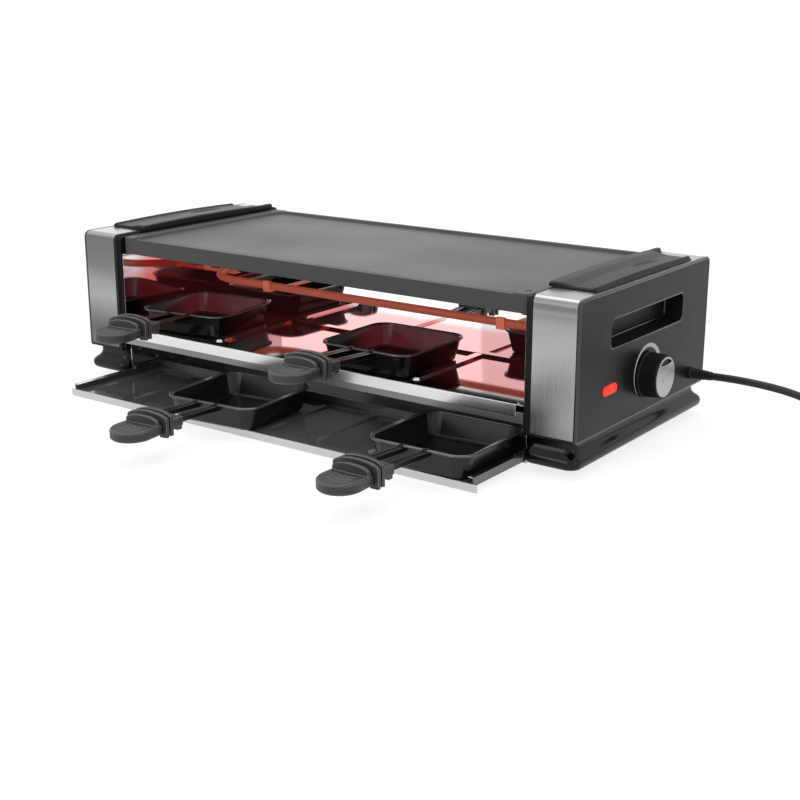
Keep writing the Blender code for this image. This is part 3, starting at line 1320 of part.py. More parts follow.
def make_pans(shop, trays):
    """Eight pans and grips, four on the deck and four on the trays."""
    pan = pan_mesh(shop)
    grip = grip_mesh(shop)
    for name, row, share, turn, out_share in PAN_PLACE_SHARES:
        on_tray = "tray" in name
        edge = TRAY_FRONT if on_tray else DECK_HALF_DEPTH
        level = TRAY_TOP if on_tray else DECK_TOP
        frame = bpy.data.objects.new(f"{name}_place", None)
        frame.parent = shop.frame
        frame.location = (share * PLACE_PITCH, row * (edge + (out_share - 1 / 2) * PAN_SIZE), level + FIT)
        if on_tray:
            frame.parent = trays[row]
            frame.location -= trays[row].location
        frame.rotation_euler.z = radians(turn) + (pi if row > 0 else 0.0)
        shop.parts.objects.link(frame)
        shop.place(bpy.data.objects.new(name, pan), name, "pan_coating", (0.0, 0.0, 0.0), frame)
        grip_name = name.replace("_pan_", "_grip_")
        shop.place(bpy.data.objects.new(grip_name, grip), grip_name, "grip_plastic", (0.0, 0.0, 0.0), frame)


def make_relief(shop):
    """Tapered strain relief clipped into the right cover."""
    tip = HALF_LENGTH + FIT + RELIEF_LENGTH
    back = COVER_INSIDE - FIT - RELIEF_FLANGE_DEPTH
    flange = COVER_INSIDE - FIT
    shoulder = HALF_LENGTH + FIT
    neck = RELIEF_HOLE / 2 - RELIEF_HOLE_GAP
    profile = [
        (0.0, tip), (RELIEF_TIP / 2, tip), (RELIEF_SHOULDER / 2, shoulder + RELIEF_SHOULDER_LENGTH),
        (RELIEF_SHOULDER / 2, shoulder), (neck, shoulder), (neck, flange),
        (RELIEF_FLANGE / 2, flange), (RELIEF_FLANGE / 2, back), (0.0, back),
    ]
    profile = [(radius, along - HALF_LENGTH) for radius, along in profile]
    origin = (HALF_LENGTH, CORD_ALONG, CORD_Z)
    shop.turned("strain_relief", profile, "rubber", origin, (0.0, pi / 2, 0.0))


def curve_through(points, steps):
    """Smooth curve through points, with an equal number of steps in each span."""
    smooth = []
    places = [Vector(point) for point in points]
    last = len(places) - 1
    for index in range(last):
        before = places[max(index - 1, 0)]
        start = places[index]
        end = places[index + 1]
        after = places[min(index + 2, last)]
        for step in range(steps):
            t = step / steps
            smooth.append(0.5 * (
                2 * start + (end - before) * t + (2 * before - 5 * start + 4 * end - after) * t * t
                + (3 * start - before - 3 * end + after) * t ** 3
            ))
    smooth.append(places[-1])
    return smooth


def path_length(points):
    """Length along a row of points."""
    places = [Vector(point) for point in points]
    return sum((far - near).length for near, far in zip(places, places[1:]))


def make_cord(shop):
    """Free stretch of the mains lead from the strain relief to the coil."""
    steps = max(1, ceil(path_length(CORD_ROUTE) / CORD_STEP / (len(CORD_ROUTE) - 1)))
    points = curve_through(CORD_ROUTE, steps)
    shop.tube("mains_cord", points, CORD_DIAMETER, 2, "cord_sheath")
    return path_length(points)


def coil_points():
    """Coiled lead: in along the table, up a layer at the inside, and out again."""
    outer = COIL_INNER_RADIUS + COIL_PITCH * COIL_FIRST_TURNS
    last_x, last_y, level = CORD_ROUTE[-1]
    start_x = last_x + FIT
    centre_x = start_x + CORD_DIAMETER
    centre_y = last_y + outer
    turns = COIL_FIRST_TURNS + COIL_CLIMB_TURNS + COIL_SECOND_TURNS
    count = round(turns * COIL_POINTS_A_TURN)
    points = [(start_x, last_y, level)]
    for index in range(count + 1):
        turn = turns * index / count
        climb = min(max((turn - COIL_FIRST_TURNS) / COIL_CLIMB_TURNS, 0.0), 1.0)
        second = max(turn - COIL_FIRST_TURNS - COIL_CLIMB_TURNS, 0.0)
        first = max(COIL_FIRST_TURNS - turn, 0.0)
        radius = COIL_INNER_RADIUS + COIL_PITCH * (first + second) - COIL_CLIMB_DIP * sin(pi * climb)
        angle = -pi / 2 + tau * turn
        height = level + COIL_PITCH * (1 - cos(pi * climb)) / 2
        points.append((centre_x + radius * cos(angle), centre_y + radius * sin(angle), height))
    return points + tail_points(points[-1])


def tail_points(start):
    """End of the lead, rising from the top layer to the plug's axis, towards +Y."""
    rise = PLUG_DIAMETER / 2 + FIT - start[2]
    points = []
    for step in range(1, TAIL_STEPS + 1):
        share = step / TAIL_STEPS
        lift = (1 - cos(pi * min(share / 0.84, 1.0))) / 2
        points.append((start[0], start[1] + TAIL_LENGTH * share, start[2] + rise * lift))
    return points


def least_gap(points):
    """Least gap between turns of the coil, measured between its points and spans."""
    places = [Vector(point) for point in points]
    best = None
    skip = COIL_POINTS_A_TURN // 2
    for index, place in enumerate(places):
        for other in range(index + skip, len(places) - 1):
            near = places[other]
            span = places[other + 1] - near
            share = min(max((place - near).dot(span) / span.length_squared, 0.0), 1.0)
            distance = (place - near - span * share).length
            best = distance if best is None else min(best, distance)
    return best - CORD_DIAMETER


def make_coil(shop):
    """Wound rest of the mains lead, one unbroken tube."""
    points = coil_points()
    print(f"least gap between the coil's turns: {least_gap(points) * 1000:.2f} mm")
    shop.tube("cord_coil", points, CORD_DIAMETER, 1, "cord_sheath")
    return points


def make_plug(shop, end):
    """Round mains plug with two pins, lying beside the coil."""
    radius = PLUG_DIAMETER / 2
    sleeve = PLUG_SLEEVE_LENGTH
    cone = sleeve + PLUG_CONE_LENGTH
    face = cone + PLUG_BODY_LENGTH
    profile = (
        (0.0, face), (radius - PLUG_EDGE, face), (radius, face - PLUG_EDGE), (radius, cone),
        (PLUG_SLEEVE_DIAMETER / 2, sleeve), (PLUG_TIP_DIAMETER / 2, 0.0), (0.0, 0.0),
    )
    origin = (end[0], end[1] + FIT, end[2])
    plug = shop.turned("mains_plug", profile, "rubber", origin, (-pi / 2, 0.0, 0.0))
    for side, name in ((-1, "left_pin"), (1, "right_pin")):
        pin = bmesh.new()
        place = Matrix.Translation((end[0] + side * PIN_SPREAD / 2, origin[1] + face, end[2]))
        bmesh.ops.create_cone(
            pin, cap_ends=True, segments=12, radius1=PIN_DIAMETER / 2, radius2=PIN_DIAMETER / 2,
            depth=2 * PIN_LENGTH, matrix=place @ Matrix.Rotation(pi / 2, 4, "X"),
        )
        shop.combine(plug, name, pin, "UNION")


def build_grill():
    """Build every piece."""
    clear_scene()
    shop = Workshop()
    for word, side in (("left", -1), ("right", 1)):
        make_skid(shop, f"{word}_skid", side)
        cover = make_side_cover(shop, f"{word}_side_cover", side)
        if side > 0:
            cut_control_holes(shop, cover)
        make_band(shop, f"{word}_steel_band", side)
        make_inner_wall(shop, f"{word}_inner_wall", side)
        make_liner(shop, f"{word}_liner", side)
        make_grip_strip(shop, f"{word}_carry_grip", side)
        make_guide(shop, f"{word}_tray_guide", side)
    make_pads(shop)
    make_deck(shop)
    make_shield(shop)
    trays = {}
    for word, row in (("front", -1), ("rear", 1)):
        make_deck_lip(shop, f"{word}_deck_lip", row)
        trays[row] = make_tray(shop, f"{word}_tray", row)
        make_tray_lip(shop, f"{word}_tray_lip", row, trays[row])
    make_plate(shop)
    make_heater(shop)
    for word, share in zip(("left", "right"), CLIP_SHARES):
        make_heater_clip(shop, f"{word}_heater_clip", share)
    make_heater_holder(shop)
    make_thermostat(shop)
    make_knob(shop)
    make_lamp(shop)
    make_terminal_block(shop)
    make_pans(shop, trays)
    make_relief(shop)
    free = make_cord(shop)
    points = make_coil(shop)
    make_plug(shop, points[-1])
    print(f"length of the lead: {free + path_length(points):.3f} m")


build_grill()
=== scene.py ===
"""Countertop raclette grill: finishes, fine pieces, mains lead, studio and camera.

Metres, +Z up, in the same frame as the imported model.
"""
import json
from math import cos, pi, radians, sin, tau

import bmesh
import bpy
from mathutils import Matrix, Vector


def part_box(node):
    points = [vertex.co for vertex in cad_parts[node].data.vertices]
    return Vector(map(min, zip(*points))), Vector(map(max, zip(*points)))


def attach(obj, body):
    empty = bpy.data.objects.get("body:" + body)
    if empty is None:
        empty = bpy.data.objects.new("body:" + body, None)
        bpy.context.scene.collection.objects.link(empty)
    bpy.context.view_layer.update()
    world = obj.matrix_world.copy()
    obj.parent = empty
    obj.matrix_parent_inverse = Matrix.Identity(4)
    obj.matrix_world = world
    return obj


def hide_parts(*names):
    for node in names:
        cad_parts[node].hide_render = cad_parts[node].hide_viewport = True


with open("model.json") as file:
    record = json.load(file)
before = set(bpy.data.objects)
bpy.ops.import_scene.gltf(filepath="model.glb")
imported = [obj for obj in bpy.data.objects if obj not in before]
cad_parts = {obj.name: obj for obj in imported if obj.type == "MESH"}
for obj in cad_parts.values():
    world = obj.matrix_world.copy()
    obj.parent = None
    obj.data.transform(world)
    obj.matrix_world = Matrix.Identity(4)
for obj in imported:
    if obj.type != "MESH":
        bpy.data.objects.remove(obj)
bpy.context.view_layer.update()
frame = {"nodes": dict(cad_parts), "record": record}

NODES = frame["nodes"]
UPWARD, DOWNWARD = (0.0, 0.0, 1.0), (0.0, 0.0, -1.0)
MERGE_DISTANCE, SHARP_ANGLE = 1e-7, radians(38)

# The photograph's camera: place, turn about Z, tilt, roll and focal length in pixels of its side
CAMERA_PLACE = (0.73225, -0.9914, 0.3545)
CAMERA_TURN, CAMERA_TILT, CAMERA_ROLL = 0.6276, -0.2854, 0.0015
FOCAL_PIXELS, PHOTO_SIDE, CAMERA_NEAR = 1364.1, 800, 0.02

# Studio lamps: name, place, target, size and watts
LAMPS = (
    ("overhead", (-0.1, 0.3, 1.5), (0.0, 0.0, 0.1), (1.6, 1.2), 8.0),
    ("front", (-0.45, -1.7, 0.85), (0.0, 0.0, 0.08), (1.0, 1.0), 7.5),
    ("right", (1.6, -0.3, 0.8), (0.25, 0.0, 0.08), (0.9, 0.9), 2.4),
    ("rear_left", (-1.9, 1.7, 0.55), (0.0, 0.0, 0.14), (1.6, 0.7), 1.7),
)
FLOOR_REACH, FLOOR_LEVEL, FLOOR_SHADE, FLOOR_LIGHT, FILL_LIGHT = 12.0, -0.0002, 0.35, 0.80, 0.60

# The mains lead: free route, then the coil and the tail that rises to the plug
LEAD_DIAMETER = 0.0066
LEAD_ROUTE = (
    (0.28255, 0.0885, 0.0422), (0.29595, 0.0885, 0.0426), (0.31195, 0.0886, 0.0425),
    (0.32995, 0.0888, 0.0416), (0.34795, 0.0889, 0.0398), (0.36595, 0.0889, 0.0362),
    (0.38495, 0.0888, 0.0300), (0.40395, 0.0886, 0.0218), (0.42195, 0.0885, 0.0137),
    (0.43895, 0.0885, 0.0075), (0.45395, 0.0885, 0.0042), (0.46595, 0.0885, 0.0035),
)
LEAD_SMOOTHING = 3
COIL_RADIUS, COIL_PITCH, COIL_DIP = 0.0328, 0.0074, 0.0010
COIL_TURNS, COIL_STEPS, COIL_START = (2.0, 0.5, 1.75), 36, 0.0003     # flat, climbing and flat again
TAIL_LENGTH, TAIL_STEPS, TAIL_RISEN, PLUG_AXIS = 0.046, 8, 0.84, 0.0188

# Strain relief: its collar as share of the radius and distance, its ribs as dip and share of their pitch
RELIEF_RADII, RELIEF_OVER, RELIEF_ROUND, RELIEF_RIBS = (0.0054, 0.0039), -0.0003, 0.0003, 6
RELIEF_COLLAR = ((0.9, -0.0020), (0.9, 0.0003), (1.0, 0.0003), (1.0, 0.0022), (0.93, 0.0027))
RELIEF_RIB_ENDS = (0.0030, 0.0004)       # the ribs' distance from the cover and from the tip
RELIEF_RIB = ((0.0009, 0.0), (0.0009, 0.34), (0.0, 0.46), (0.0, 0.92))

# Plug: sleeve with ribs as dip and distance, then the body with distances from neck, waist and face
PLUG_START, PLUG_SLEEVE, PLUG_NECK = 0.0036, (0.0046, 0.0062), 0.0064
PLUG_RIBS, PLUG_RIB_START, PLUG_RIB_PITCH = 6, 0.0002, 0.0021
PLUG_RIB = ((0.0, 0.0), (0.0, 0.0011), (0.0008, 0.0013), (0.0008, PLUG_RIB_PITCH))
PLUG_NECK_GAP, PLUG_WAIST = 0.0003, 0.47
PLUG_CONE, PLUG_FLARE = (0.46, 0.0030), (0.80, -0.0030)
PLUG_SHOULDER = ((0.93, 0.0), (0.93, 0.0012), (1.0, 0.0020))
PLUG_EDGE = ((0.0, 0.0022), (0.0007, 0.0008), (0.0022, 0.0))
PLUG_STEPS, PIN_STEPS = 64, 24
PIN_LENGTH, PIN_SPREAD, PIN_RADIUS, PIN_SUNK = 0.019, 0.019, 0.0024, 0.001
PIN_TIP = ((1.0, 0.0015), (0.8, 0.0004), (0.45, 0.0))

# Printed crescent round the knob: angles from +Y towards +Z, outer radii and widths at its two ends
DIAL_START, DIAL_END, DIAL_STEPS, DIAL_SWELL = radians(228), radians(29), 60, 1.3
DIAL_RADII, DIAL_WIDTHS = (0.0202, 0.0274), (0.0005, 0.0046)
INK_SUNK, INK_PROUD, SKIRT_STEPS = 0.0002, 0.00012, 72
SKIRT_PROFILE = (
    (-0.0012, -0.0003), (0.0006, -0.0003), (0.0008, 0.0005), (0.0007, 0.0013), (0.0002, 0.0019),
    (-0.0012, 0.0021),
)
CAP_RING_PROFILE = (
    (0.0042, -0.0004), (0.0054, -0.0004), (0.0052, 0.0002), (0.0048, 0.0003), (0.0044, 0.0002),
)

# Finger recesses in the covers: mouth size along Y and Z, and the beads as inset, depth and radius
RECESS_SIZE, RECESS_CORNER, RECESS_MIDDLE = (0.131, 0.024), 0.006, 0.106
RECESS_BEADS = ((-0.0003, 0.0005, 0.0009), (0.0020, 0.0164, 0.0011))
COVER_BEAD, COVER_CORNERS, LEAST_CORNER = (0.0013, 0.0013, 0.0016), (0.0025, 0.006), 0.0008

# Feet under the housings: plan corner, flare, and their section as share of the height and share of the
# flare that it stands back
SKID_CORNER, SKID_FLARE, SKID_CORNER_STEPS, SKID_SMOOTHING = 0.0090, 0.0065, 12, 3
SKID_SECTION = (
    (0.0, 0.52), (0.035, 0.28), (0.09, 0.11), (0.17, 0.015), (0.26, 0.0), (0.34, 0.05), (0.41, 0.17),
    (0.47, 0.36), (0.53, 0.57), (0.60, 0.78), (0.69, 0.93), (0.79, 1.0), (1.0, 1.0),
)

# Tray hems: where they run along Y, and their section as distance inwards and below the rail's top
HEM_ENDS = (0.0725, 0.1808)
HEM_SECTION = ((0.0002, 0.0), (0.0050, 0.0), (0.0052, 0.0003), (0.0050, 0.0007), (0.0002, 0.0007))

# Bottom sheet between the tray guides, with its vent slots: length and width, count, pitch and row place
SHEET_INSET, SHEET_END, SHEET_LEVEL, SHEET_THICKNESS = 0.0002, 0.002, 0.0006, 0.0006
VENT_SIZE, VENT_COUNT, VENT_PITCH, VENT_ROW = (0.046, 0.005), 5, 0.072, 0.072

# Fastener heads: section of unit radius and height, then each kind's radius, height and places
RIVET_PROFILE = (
    (1.0, -0.5), (1.0, 0.0), (0.96, 0.28), (0.86, 0.54), (0.70, 0.75), (0.50, 0.90), (0.26, 0.98),
)
SCREW_PROFILE = ((1.0, -0.5), (1.0, 0.35), (0.94, 0.62), (0.80, 0.84), (0.62, 0.95))
SCREW_RECESS, CROSS_HUB, CROSS_ARM, HEAD_STEPS = (0.95, 0.35), 0.16, 0.40, 24
GUIDE_RIVET, GUIDE_FACE_BACK = (0.0023, 0.0009), 0.0040       # the rail's upright stands behind its ledges
GUIDE_RIVET_PLACES = ((0.0952, 0.0284), (0.0746, 0.0162), (0.0400, 0.0284), (0.0200, 0.0162))
DECK_RIVET, DECK_RIVET_INSET, DECK_RIDGE = (0.0019, 0.0010), (0.0052, 0.0042), 0.0024
PLATE_PEG, PEG_INSET, PEG_DEPTH = (0.0013, 0.0012), (0.0070, 0.01125), 0.0014
FOOT_SCREW, FOOT_SCREW_PLACES = (0.0036, 0.0014), (-0.046, 0.0, 0.046)
PAN_WELD, ARM_SPREAD, WELD_ALONG, WELD_HEIGHT = (0.0032, 0.0013), 0.0215, -0.0462, 0.0205

# Pans as they lie: body, place, floor level and turn in degrees
PAN_PLACES = (
    ("front_deck_pan_left", -0.17104, -0.06046, 0.0528, 8.0),
    ("front_deck_pan_right", 0.05488, -0.06746, 0.0528, 0.8),
    ("rear_deck_pan_left", -0.17425, 0.06199, 0.0528, 178.5),
    ("rear_deck_pan_right", 0.15815, 0.06199, 0.0528, 181.0),
    ("front_tray_pan_left", -0.05237, -0.14744, 0.0072, 5.0),
    ("front_tray_pan_right", 0.16147, -0.14197, 0.0072, 1.5),
    ("rear_tray_pan_left", -0.06345, 0.14398, 0.0072, 181.0),
    ("rear_tray_pan_right", 0.04735, 0.13995, 0.0072, 178.0),
)
PAN_RIM_SIZE, PAN_RIM_CORNER, PAN_RIM_LEVEL, PAN_RIM_STEPS = 0.09600, 0.016, 0.021, 8
PAN_BEADS = ((0.0009, 0.0005, 0.0010), (0.0030, 0.0006, 0.0008))     # inset, depth and radius

# How the heater's painted glow fades: scale of its unevenness, how far that shifts it, and what walls that
# face down keep
PAINTED_GLOW_CLOUDS, PAINTED_GLOW_SHIFT, PAINTED_GLOW_BELOW, PAINTED_GLOW_FACING = 16.0, 0.02, 0.2, (-0.02, 0.08)

# Painted reflections on the bands: lighter and darker levels, as share of the height and factor
RIGHT_BAND_PAINTED_REFLECTIONS = (
    (0.0, 0.72), (0.12, 0.82), (0.40, 1.0), (0.62, 0.95), (0.80, 0.80), (0.865, 0.58), (0.89, 0.66),
    (0.915, 0.44), (0.965, 0.40), (0.985, 1.0), (1.0, 1.0),
)
LEFT_BAND_PAINTED_REFLECTIONS = (
    (0.0, 0.30), (0.17, 0.34), (0.33, 0.62), (0.45, 0.84), (0.58, 0.72), (0.70, 0.46), (0.90, 0.38),
    (0.965, 0.40), (0.985, 1.0), (1.0, 1.0),
)


def node_tools(tree):
    """A short way to add a node, set its sockets and link it."""
    def add(kind, links=None, **settings):
        node = tree.nodes.new(kind)
        for key, value in settings.items():
            setattr(node, key, value)
        for key, value in (links or {}).items():
            socket = node.inputs[key]
            if isinstance(value, bpy.types.NodeSocket):
                tree.links.new(value, socket)
            else:
                socket.default_value = value
        return node
    return add


def shader_group(name, inputs, outputs):
    """New shader node group with its inputs and outputs."""
    group = bpy.data.node_groups.new(name, "ShaderNodeTree")
    for label, kind, value in inputs:
        socket = group.interface.new_socket(label, in_out="INPUT", socket_type=kind)
        socket.default_value = value
    for label, kind in outputs:
        group.interface.new_socket(label, in_out="OUTPUT", socket_type=kind)
    return group


def make_moulded_grain():
    """Fine spark-eroded grain of moulded plastic and of cast coatings, with slow unevenness."""
    group = shader_group(
        "moulded_grain",
        (("Grain Scale", "NodeSocketFloat", 900.0), ("Cloud Scale", "NodeSocketFloat", 14.0)),
        (("Height", "NodeSocketFloat"), ("Cloud", "NodeSocketFloat")),
    )
    add = node_tools(group)
    given = add("NodeGroupInput")
    place = add("ShaderNodeTexCoord").outputs["Object"]
    grain = add("ShaderNodeTexNoise", {
        "Vector": place, "Scale": given.outputs["Grain Scale"], "Detail": 2.0, "Roughness": 0.6,
    })
    cloud = add("ShaderNodeTexNoise", {
        "Vector": place, "Scale": given.outputs["Cloud Scale"], "Detail": 3.0, "Roughness": 0.55,
    })
    add("NodeGroupOutput", {"Height": grain.outputs["Fac"], "Cloud": cloud.outputs["Fac"]})
    return group


def make_brushed_lines():
    """Fine parallel lines of brushed steel: a noise stretched along the brushing."""
    group = shader_group(
        "brushed_lines",
        (("Lines", "NodeSocketVector", (3000.0, 12.0, 12.0)),
         ("Patches", "NodeSocketVector", (160.0, 4.0, 4.0))),
        (("Height", "NodeSocketFloat"), ("Patch", "NodeSocketFloat")),
    )
    add = node_tools(group)
    given = add("NodeGroupInput")
    place = add("ShaderNodeTexCoord").outputs["Object"]
    results = []
    for label, detail in (("Lines", 2.0), ("Patches", 3.0)):
        stretched = add("ShaderNodeVectorMath", {0: place, 1: given.outputs[label]}, operation="MULTIPLY")
        noise = add("ShaderNodeTexNoise", {
            "Vector": stretched.outputs[0], "Scale": 1.0, "Detail": detail, "Roughness": 0.6,
        })
        results.append(noise.outputs["Fac"])
    add("NodeGroupOutput", {"Height": results[0], "Patch": results[1]})
    return group


def make_soft_edges():
    """Edges as a mould leaves them: a rounded normal, and a mask of where they are."""
    group = shader_group(
        "soft_edges",
        (("Radius", "NodeSocketFloat", 0.0006), ("Gain", "NodeSocketFloat", 6.0)),
        (("Normal", "NodeSocketVector"), ("Mask", "NodeSocketFloat")),
    )
    add = node_tools(group)
    given = add("NodeGroupInput")
    rounded = add("ShaderNodeBevel", {"Radius": given.outputs["Radius"]}, samples=6)
    flat = add("ShaderNodeNewGeometry").outputs["Normal"]
    along = add("ShaderNodeVectorMath", {0: rounded.outputs[0], 1: flat}, operation="DOT_PRODUCT")
    apart = add("ShaderNodeMath", {0: 1.0, 1: along.outputs["Value"]}, operation="SUBTRACT")
    mask = add(
        "ShaderNodeMath", {0: apart.outputs[0], 1: given.outputs["Gain"]},
        operation="MULTIPLY", use_clamp=True,
    )
    add("NodeGroupOutput", {"Normal": rounded.outputs[0], "Mask": mask.outputs[0]})
    return group


def make_painted_glow_reach():
    """How strongly the heater's painted glow lies on a place: 1 below and between its runs, 0 far in front
    or behind.
    """
    group = shader_group(
        "painted_glow_reach",
        (("Near", "NodeSocketFloat", 0.055), ("Far", "NodeSocketFloat", 0.100)),
        (("Heat", "NodeSocketFloat"), ("Heat On Walls", "NodeSocketFloat")),
    )
    add = node_tools(group)
    given = add("NodeGroupInput")
    place = add("ShaderNodeTexCoord").outputs["Object"]
    across = add("ShaderNodeSeparateXYZ", {"Vector": place}).outputs["Y"]
    distance = add("ShaderNodeMath", {0: across}, operation="ABSOLUTE")
    uneven = add("ShaderNodeTexNoise", {"Vector": place, "Scale": PAINTED_GLOW_CLOUDS, "Detail": 2.0})
    shifted = add("ShaderNodeMath", {
        0: uneven.outputs["Fac"], 1: PAINTED_GLOW_SHIFT, 2: distance.outputs[0],
    }, operation="MULTIPLY_ADD")
    reach = add("ShaderNodeMapRange", {
        "Value": shifted.outputs[0], "From Min": given.outputs["Near"], "From Max": given.outputs["Far"],
        "To Min": 1.0, "To Max": 0.0,
    }, interpolation_type="SMOOTHSTEP")
    # Painted shade: walls that face down keep only a share of the painted glow.
    normal = add("ShaderNodeNewGeometry").outputs["Normal"]
    facing = add("ShaderNodeSeparateXYZ", {"Vector": normal}).outputs["Z"]
    level = add("ShaderNodeMath", {0: facing}, operation="ABSOLUTE")
    upright = add("ShaderNodeMath", {0: 1.0, 1: level.outputs[0]}, operation="SUBTRACT")
    upward = add("ShaderNodeMapRange", {
        "Value": facing, "From Min": PAINTED_GLOW_FACING[0], "From Max": PAINTED_GLOW_FACING[1],
        "To Min": PAINTED_GLOW_BELOW, "To Max": 1.0,
    })
    lit = add("ShaderNodeMath", {0: upright.outputs[0], 1: upward.outputs["Result"]}, operation="MULTIPLY")
    walls = add("ShaderNodeMath", {0: reach.outputs["Result"], 1: lit.outputs[0]}, operation="MULTIPLY")
    add("NodeGroupOutput", {"Heat": reach.outputs["Result"], "Heat On Walls": walls.outputs[0]})
    return group


MOULDED_GRAIN = make_moulded_grain()
PAINTED_GLOW_REACH = make_painted_glow_reach()
BRUSHED_LINES = make_brushed_lines()
SOFT_EDGES = make_soft_edges()


def shade_of(color, factor):
    """The same colour, lighter or darker."""
    return (*(min(channel * factor, 1.0) for channel in color), 1.0)


def blank_material(name):
    """New material with an empty node tree, and the tool that fills it."""
    material = bpy.data.materials.new(name)
    material.use_nodes = True
    material.node_tree.nodes.clear()
    return material, node_tools(material.node_tree)


def shader_of(material):
    """The material's main shader node."""
    return next(node for node in material.node_tree.nodes if node.type == "BSDF_PRINCIPLED")


def light_up(material, color, strength):
    """Give the material its own light, with its colour from a node."""
    shader = shader_of(material)
    material.node_tree.links.new(color.outputs["Result"], shader.inputs["Emission Color"])
    shader.inputs["Emission Strength"].default_value = strength


def moulded(name, color, roughness, grain=900.0, depth=0.00002, cloud=14.0, spread=0.12,
            edge=1.5, edge_radius=0.0006, specular=0.5, coat=0.0, coat_roughness=0.1):
    """Plastic, rubber or coating: grain, slow cloudiness, and edges painted lighter as highlights."""
    material, add = blank_material(name)
    texture = add("ShaderNodeGroup", node_tree=MOULDED_GRAIN)
    texture.inputs["Grain Scale"].default_value = grain
    texture.inputs["Cloud Scale"].default_value = cloud
    edges = add("ShaderNodeGroup", node_tree=SOFT_EDGES)
    edges.inputs["Radius"].default_value = edge_radius
    clouded = add("ShaderNodeMix", {
        "Factor": texture.outputs["Cloud"],
        "A": shade_of(color, 1.0 - spread), "B": shade_of(color, 1.0 + spread),
    }, data_type="RGBA")
    # Painted highlight: the edge factor lightens the colour along every edge, convex and hollow.
    base = add("ShaderNodeMix", {
        "Factor": edges.outputs["Mask"], "A": clouded.outputs["Result"], "B": shade_of(color, edge),
    }, data_type="RGBA")
    rough = add("ShaderNodeMapRange", {
        "Value": texture.outputs["Cloud"], "From Min": 0.3, "From Max": 0.7,
        "To Min": roughness * 0.88, "To Max": roughness * 1.12,
    })
    bump = add("ShaderNodeBump", {
        "Height": texture.outputs["Height"], "Distance": depth, "Strength": 0.6,
        "Normal": edges.outputs["Normal"],
    })
    shader = add("ShaderNodeBsdfPrincipled", {
        "Base Color": base.outputs["Result"], "Roughness": rough.outputs["Result"],
        "Normal": bump.outputs["Normal"], "Specular IOR Level": specular,
        "Coat Weight": coat, "Coat Roughness": coat_roughness,
    })
    add("ShaderNodeOutputMaterial", {"Surface": shader.outputs["BSDF"]})
    return material


def painted_reflection_by_height(add, base, painted_tones):
    """Painted reflections: lighter and darker levels of a band by its height."""
    place = add("ShaderNodeTexCoord").outputs["Object"]
    height = add("ShaderNodeSeparateXYZ", {"Vector": place}).outputs["Z"]
    low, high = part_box("left_steel_band")
    share = add("ShaderNodeMapRange", {"Value": height, "From Min": low[2], "From Max": high[2]})
    ramp = add("ShaderNodeValToRGB", {"Fac": share.outputs["Result"]})
    stops = ramp.color_ramp.elements
    while len(stops) < len(painted_tones):
        stops.new(0.5)
    for stop, (level, factor) in zip(stops, painted_tones):
        stop.position = level
        stop.color = (factor, factor, factor, 1.0)
    return add("ShaderNodeMix", {
        "Factor": 1.0, "A": base.outputs["Result"], "B": ramp.outputs["Color"],
    }, data_type="RGBA", blend_type="MULTIPLY")


def brushed(name, color, roughness, lines, patches=(160.0, 4.0, 4.0), depth=0.000012, spread=0.10,
            streak=0.5, edge_radius=0.0004, painted_tones=()):
    """Bare metal with its brushing; painted tones are painted reflections, lighter and darker levels as
    height share and factor.
    """
    material, add = blank_material(name)
    texture = add("ShaderNodeGroup", node_tree=BRUSHED_LINES)
    texture.inputs["Lines"].default_value = lines
    texture.inputs["Patches"].default_value = patches
    edges = add("ShaderNodeGroup", node_tree=SOFT_EDGES)
    edges.inputs["Radius"].default_value = edge_radius
    streaked = add("ShaderNodeMix", {
        "Factor": texture.outputs["Height"],
        "A": shade_of(color, 1.0 - spread), "B": shade_of(color, 1.0 + spread),
    }, data_type="RGBA")
    patched = add("ShaderNodeMix", {
        "Factor": texture.outputs["Patch"], "A": shade_of(color, 1.0 - spread * 0.7),
        "B": shade_of(color, 1.0 + spread * 0.7),
    }, data_type="RGBA")
    base = add("ShaderNodeMix", {
        "Factor": streak, "A": patched.outputs["Result"], "B": streaked.outputs["Result"],
    }, data_type="RGBA")
    if painted_tones:
        base = painted_reflection_by_height(add, base, painted_tones)
    rough = add("ShaderNodeMapRange", {
        "Value": texture.outputs["Height"], "From Min": 0.3, "From Max": 0.7,
        "To Min": roughness * 0.85, "To Max": roughness * 1.15,
    })
    bump = add("ShaderNodeBump", {
        "Height": texture.outputs["Height"], "Distance": depth, "Strength": 0.5,
        "Normal": edges.outputs["Normal"],
    })
    shader = add("ShaderNodeBsdfPrincipled", {
        "Base Color": base.outputs["Result"], "Roughness": rough.outputs["Result"],
        "Normal": bump.outputs["Normal"], "Metallic": 1.0,
    })
    add("ShaderNodeOutputMaterial", {"Surface": shader.outputs["BSDF"]})
    return material


def with_painted_glow(material, tint, glow, strength, near=0.055, far=0.100, lit="Heat"):
    """A surface round the heater with its painted glow: a red tint and a faint light of its own, fading to
    the front and the rear.
    """
    tree, shader = material.node_tree, shader_of(material)
    add = node_tools(tree)
    heat = add("ShaderNodeGroup", node_tree=PAINTED_GLOW_REACH)
    heat.inputs["Near"].default_value = near
    heat.inputs["Far"].default_value = far
    base = shader.inputs["Base Color"].links[0].from_socket
    # Painted glow: the red tint and the faint own light stand in for the heater's light on the surface.
    hot = add("ShaderNodeMix", {
        "Factor": 1.0, "A": base, "B": (*tint, 1.0),
    }, data_type="RGBA", blend_type="MULTIPLY")
    toned = add("ShaderNodeMix", {
        "Factor": heat.outputs["Heat"], "A": base, "B": hot.outputs["Result"],
    }, data_type="RGBA")
    tree.links.new(toned.outputs["Result"], shader.inputs["Base Color"])
    shine = add("ShaderNodeMix", {
        "Factor": heat.outputs[lit], "A": (0.0, 0.0, 0.0, 1.0), "B": (*glow, 1.0),
    }, data_type="RGBA")
    light_up(material, shine, strength)
    return material


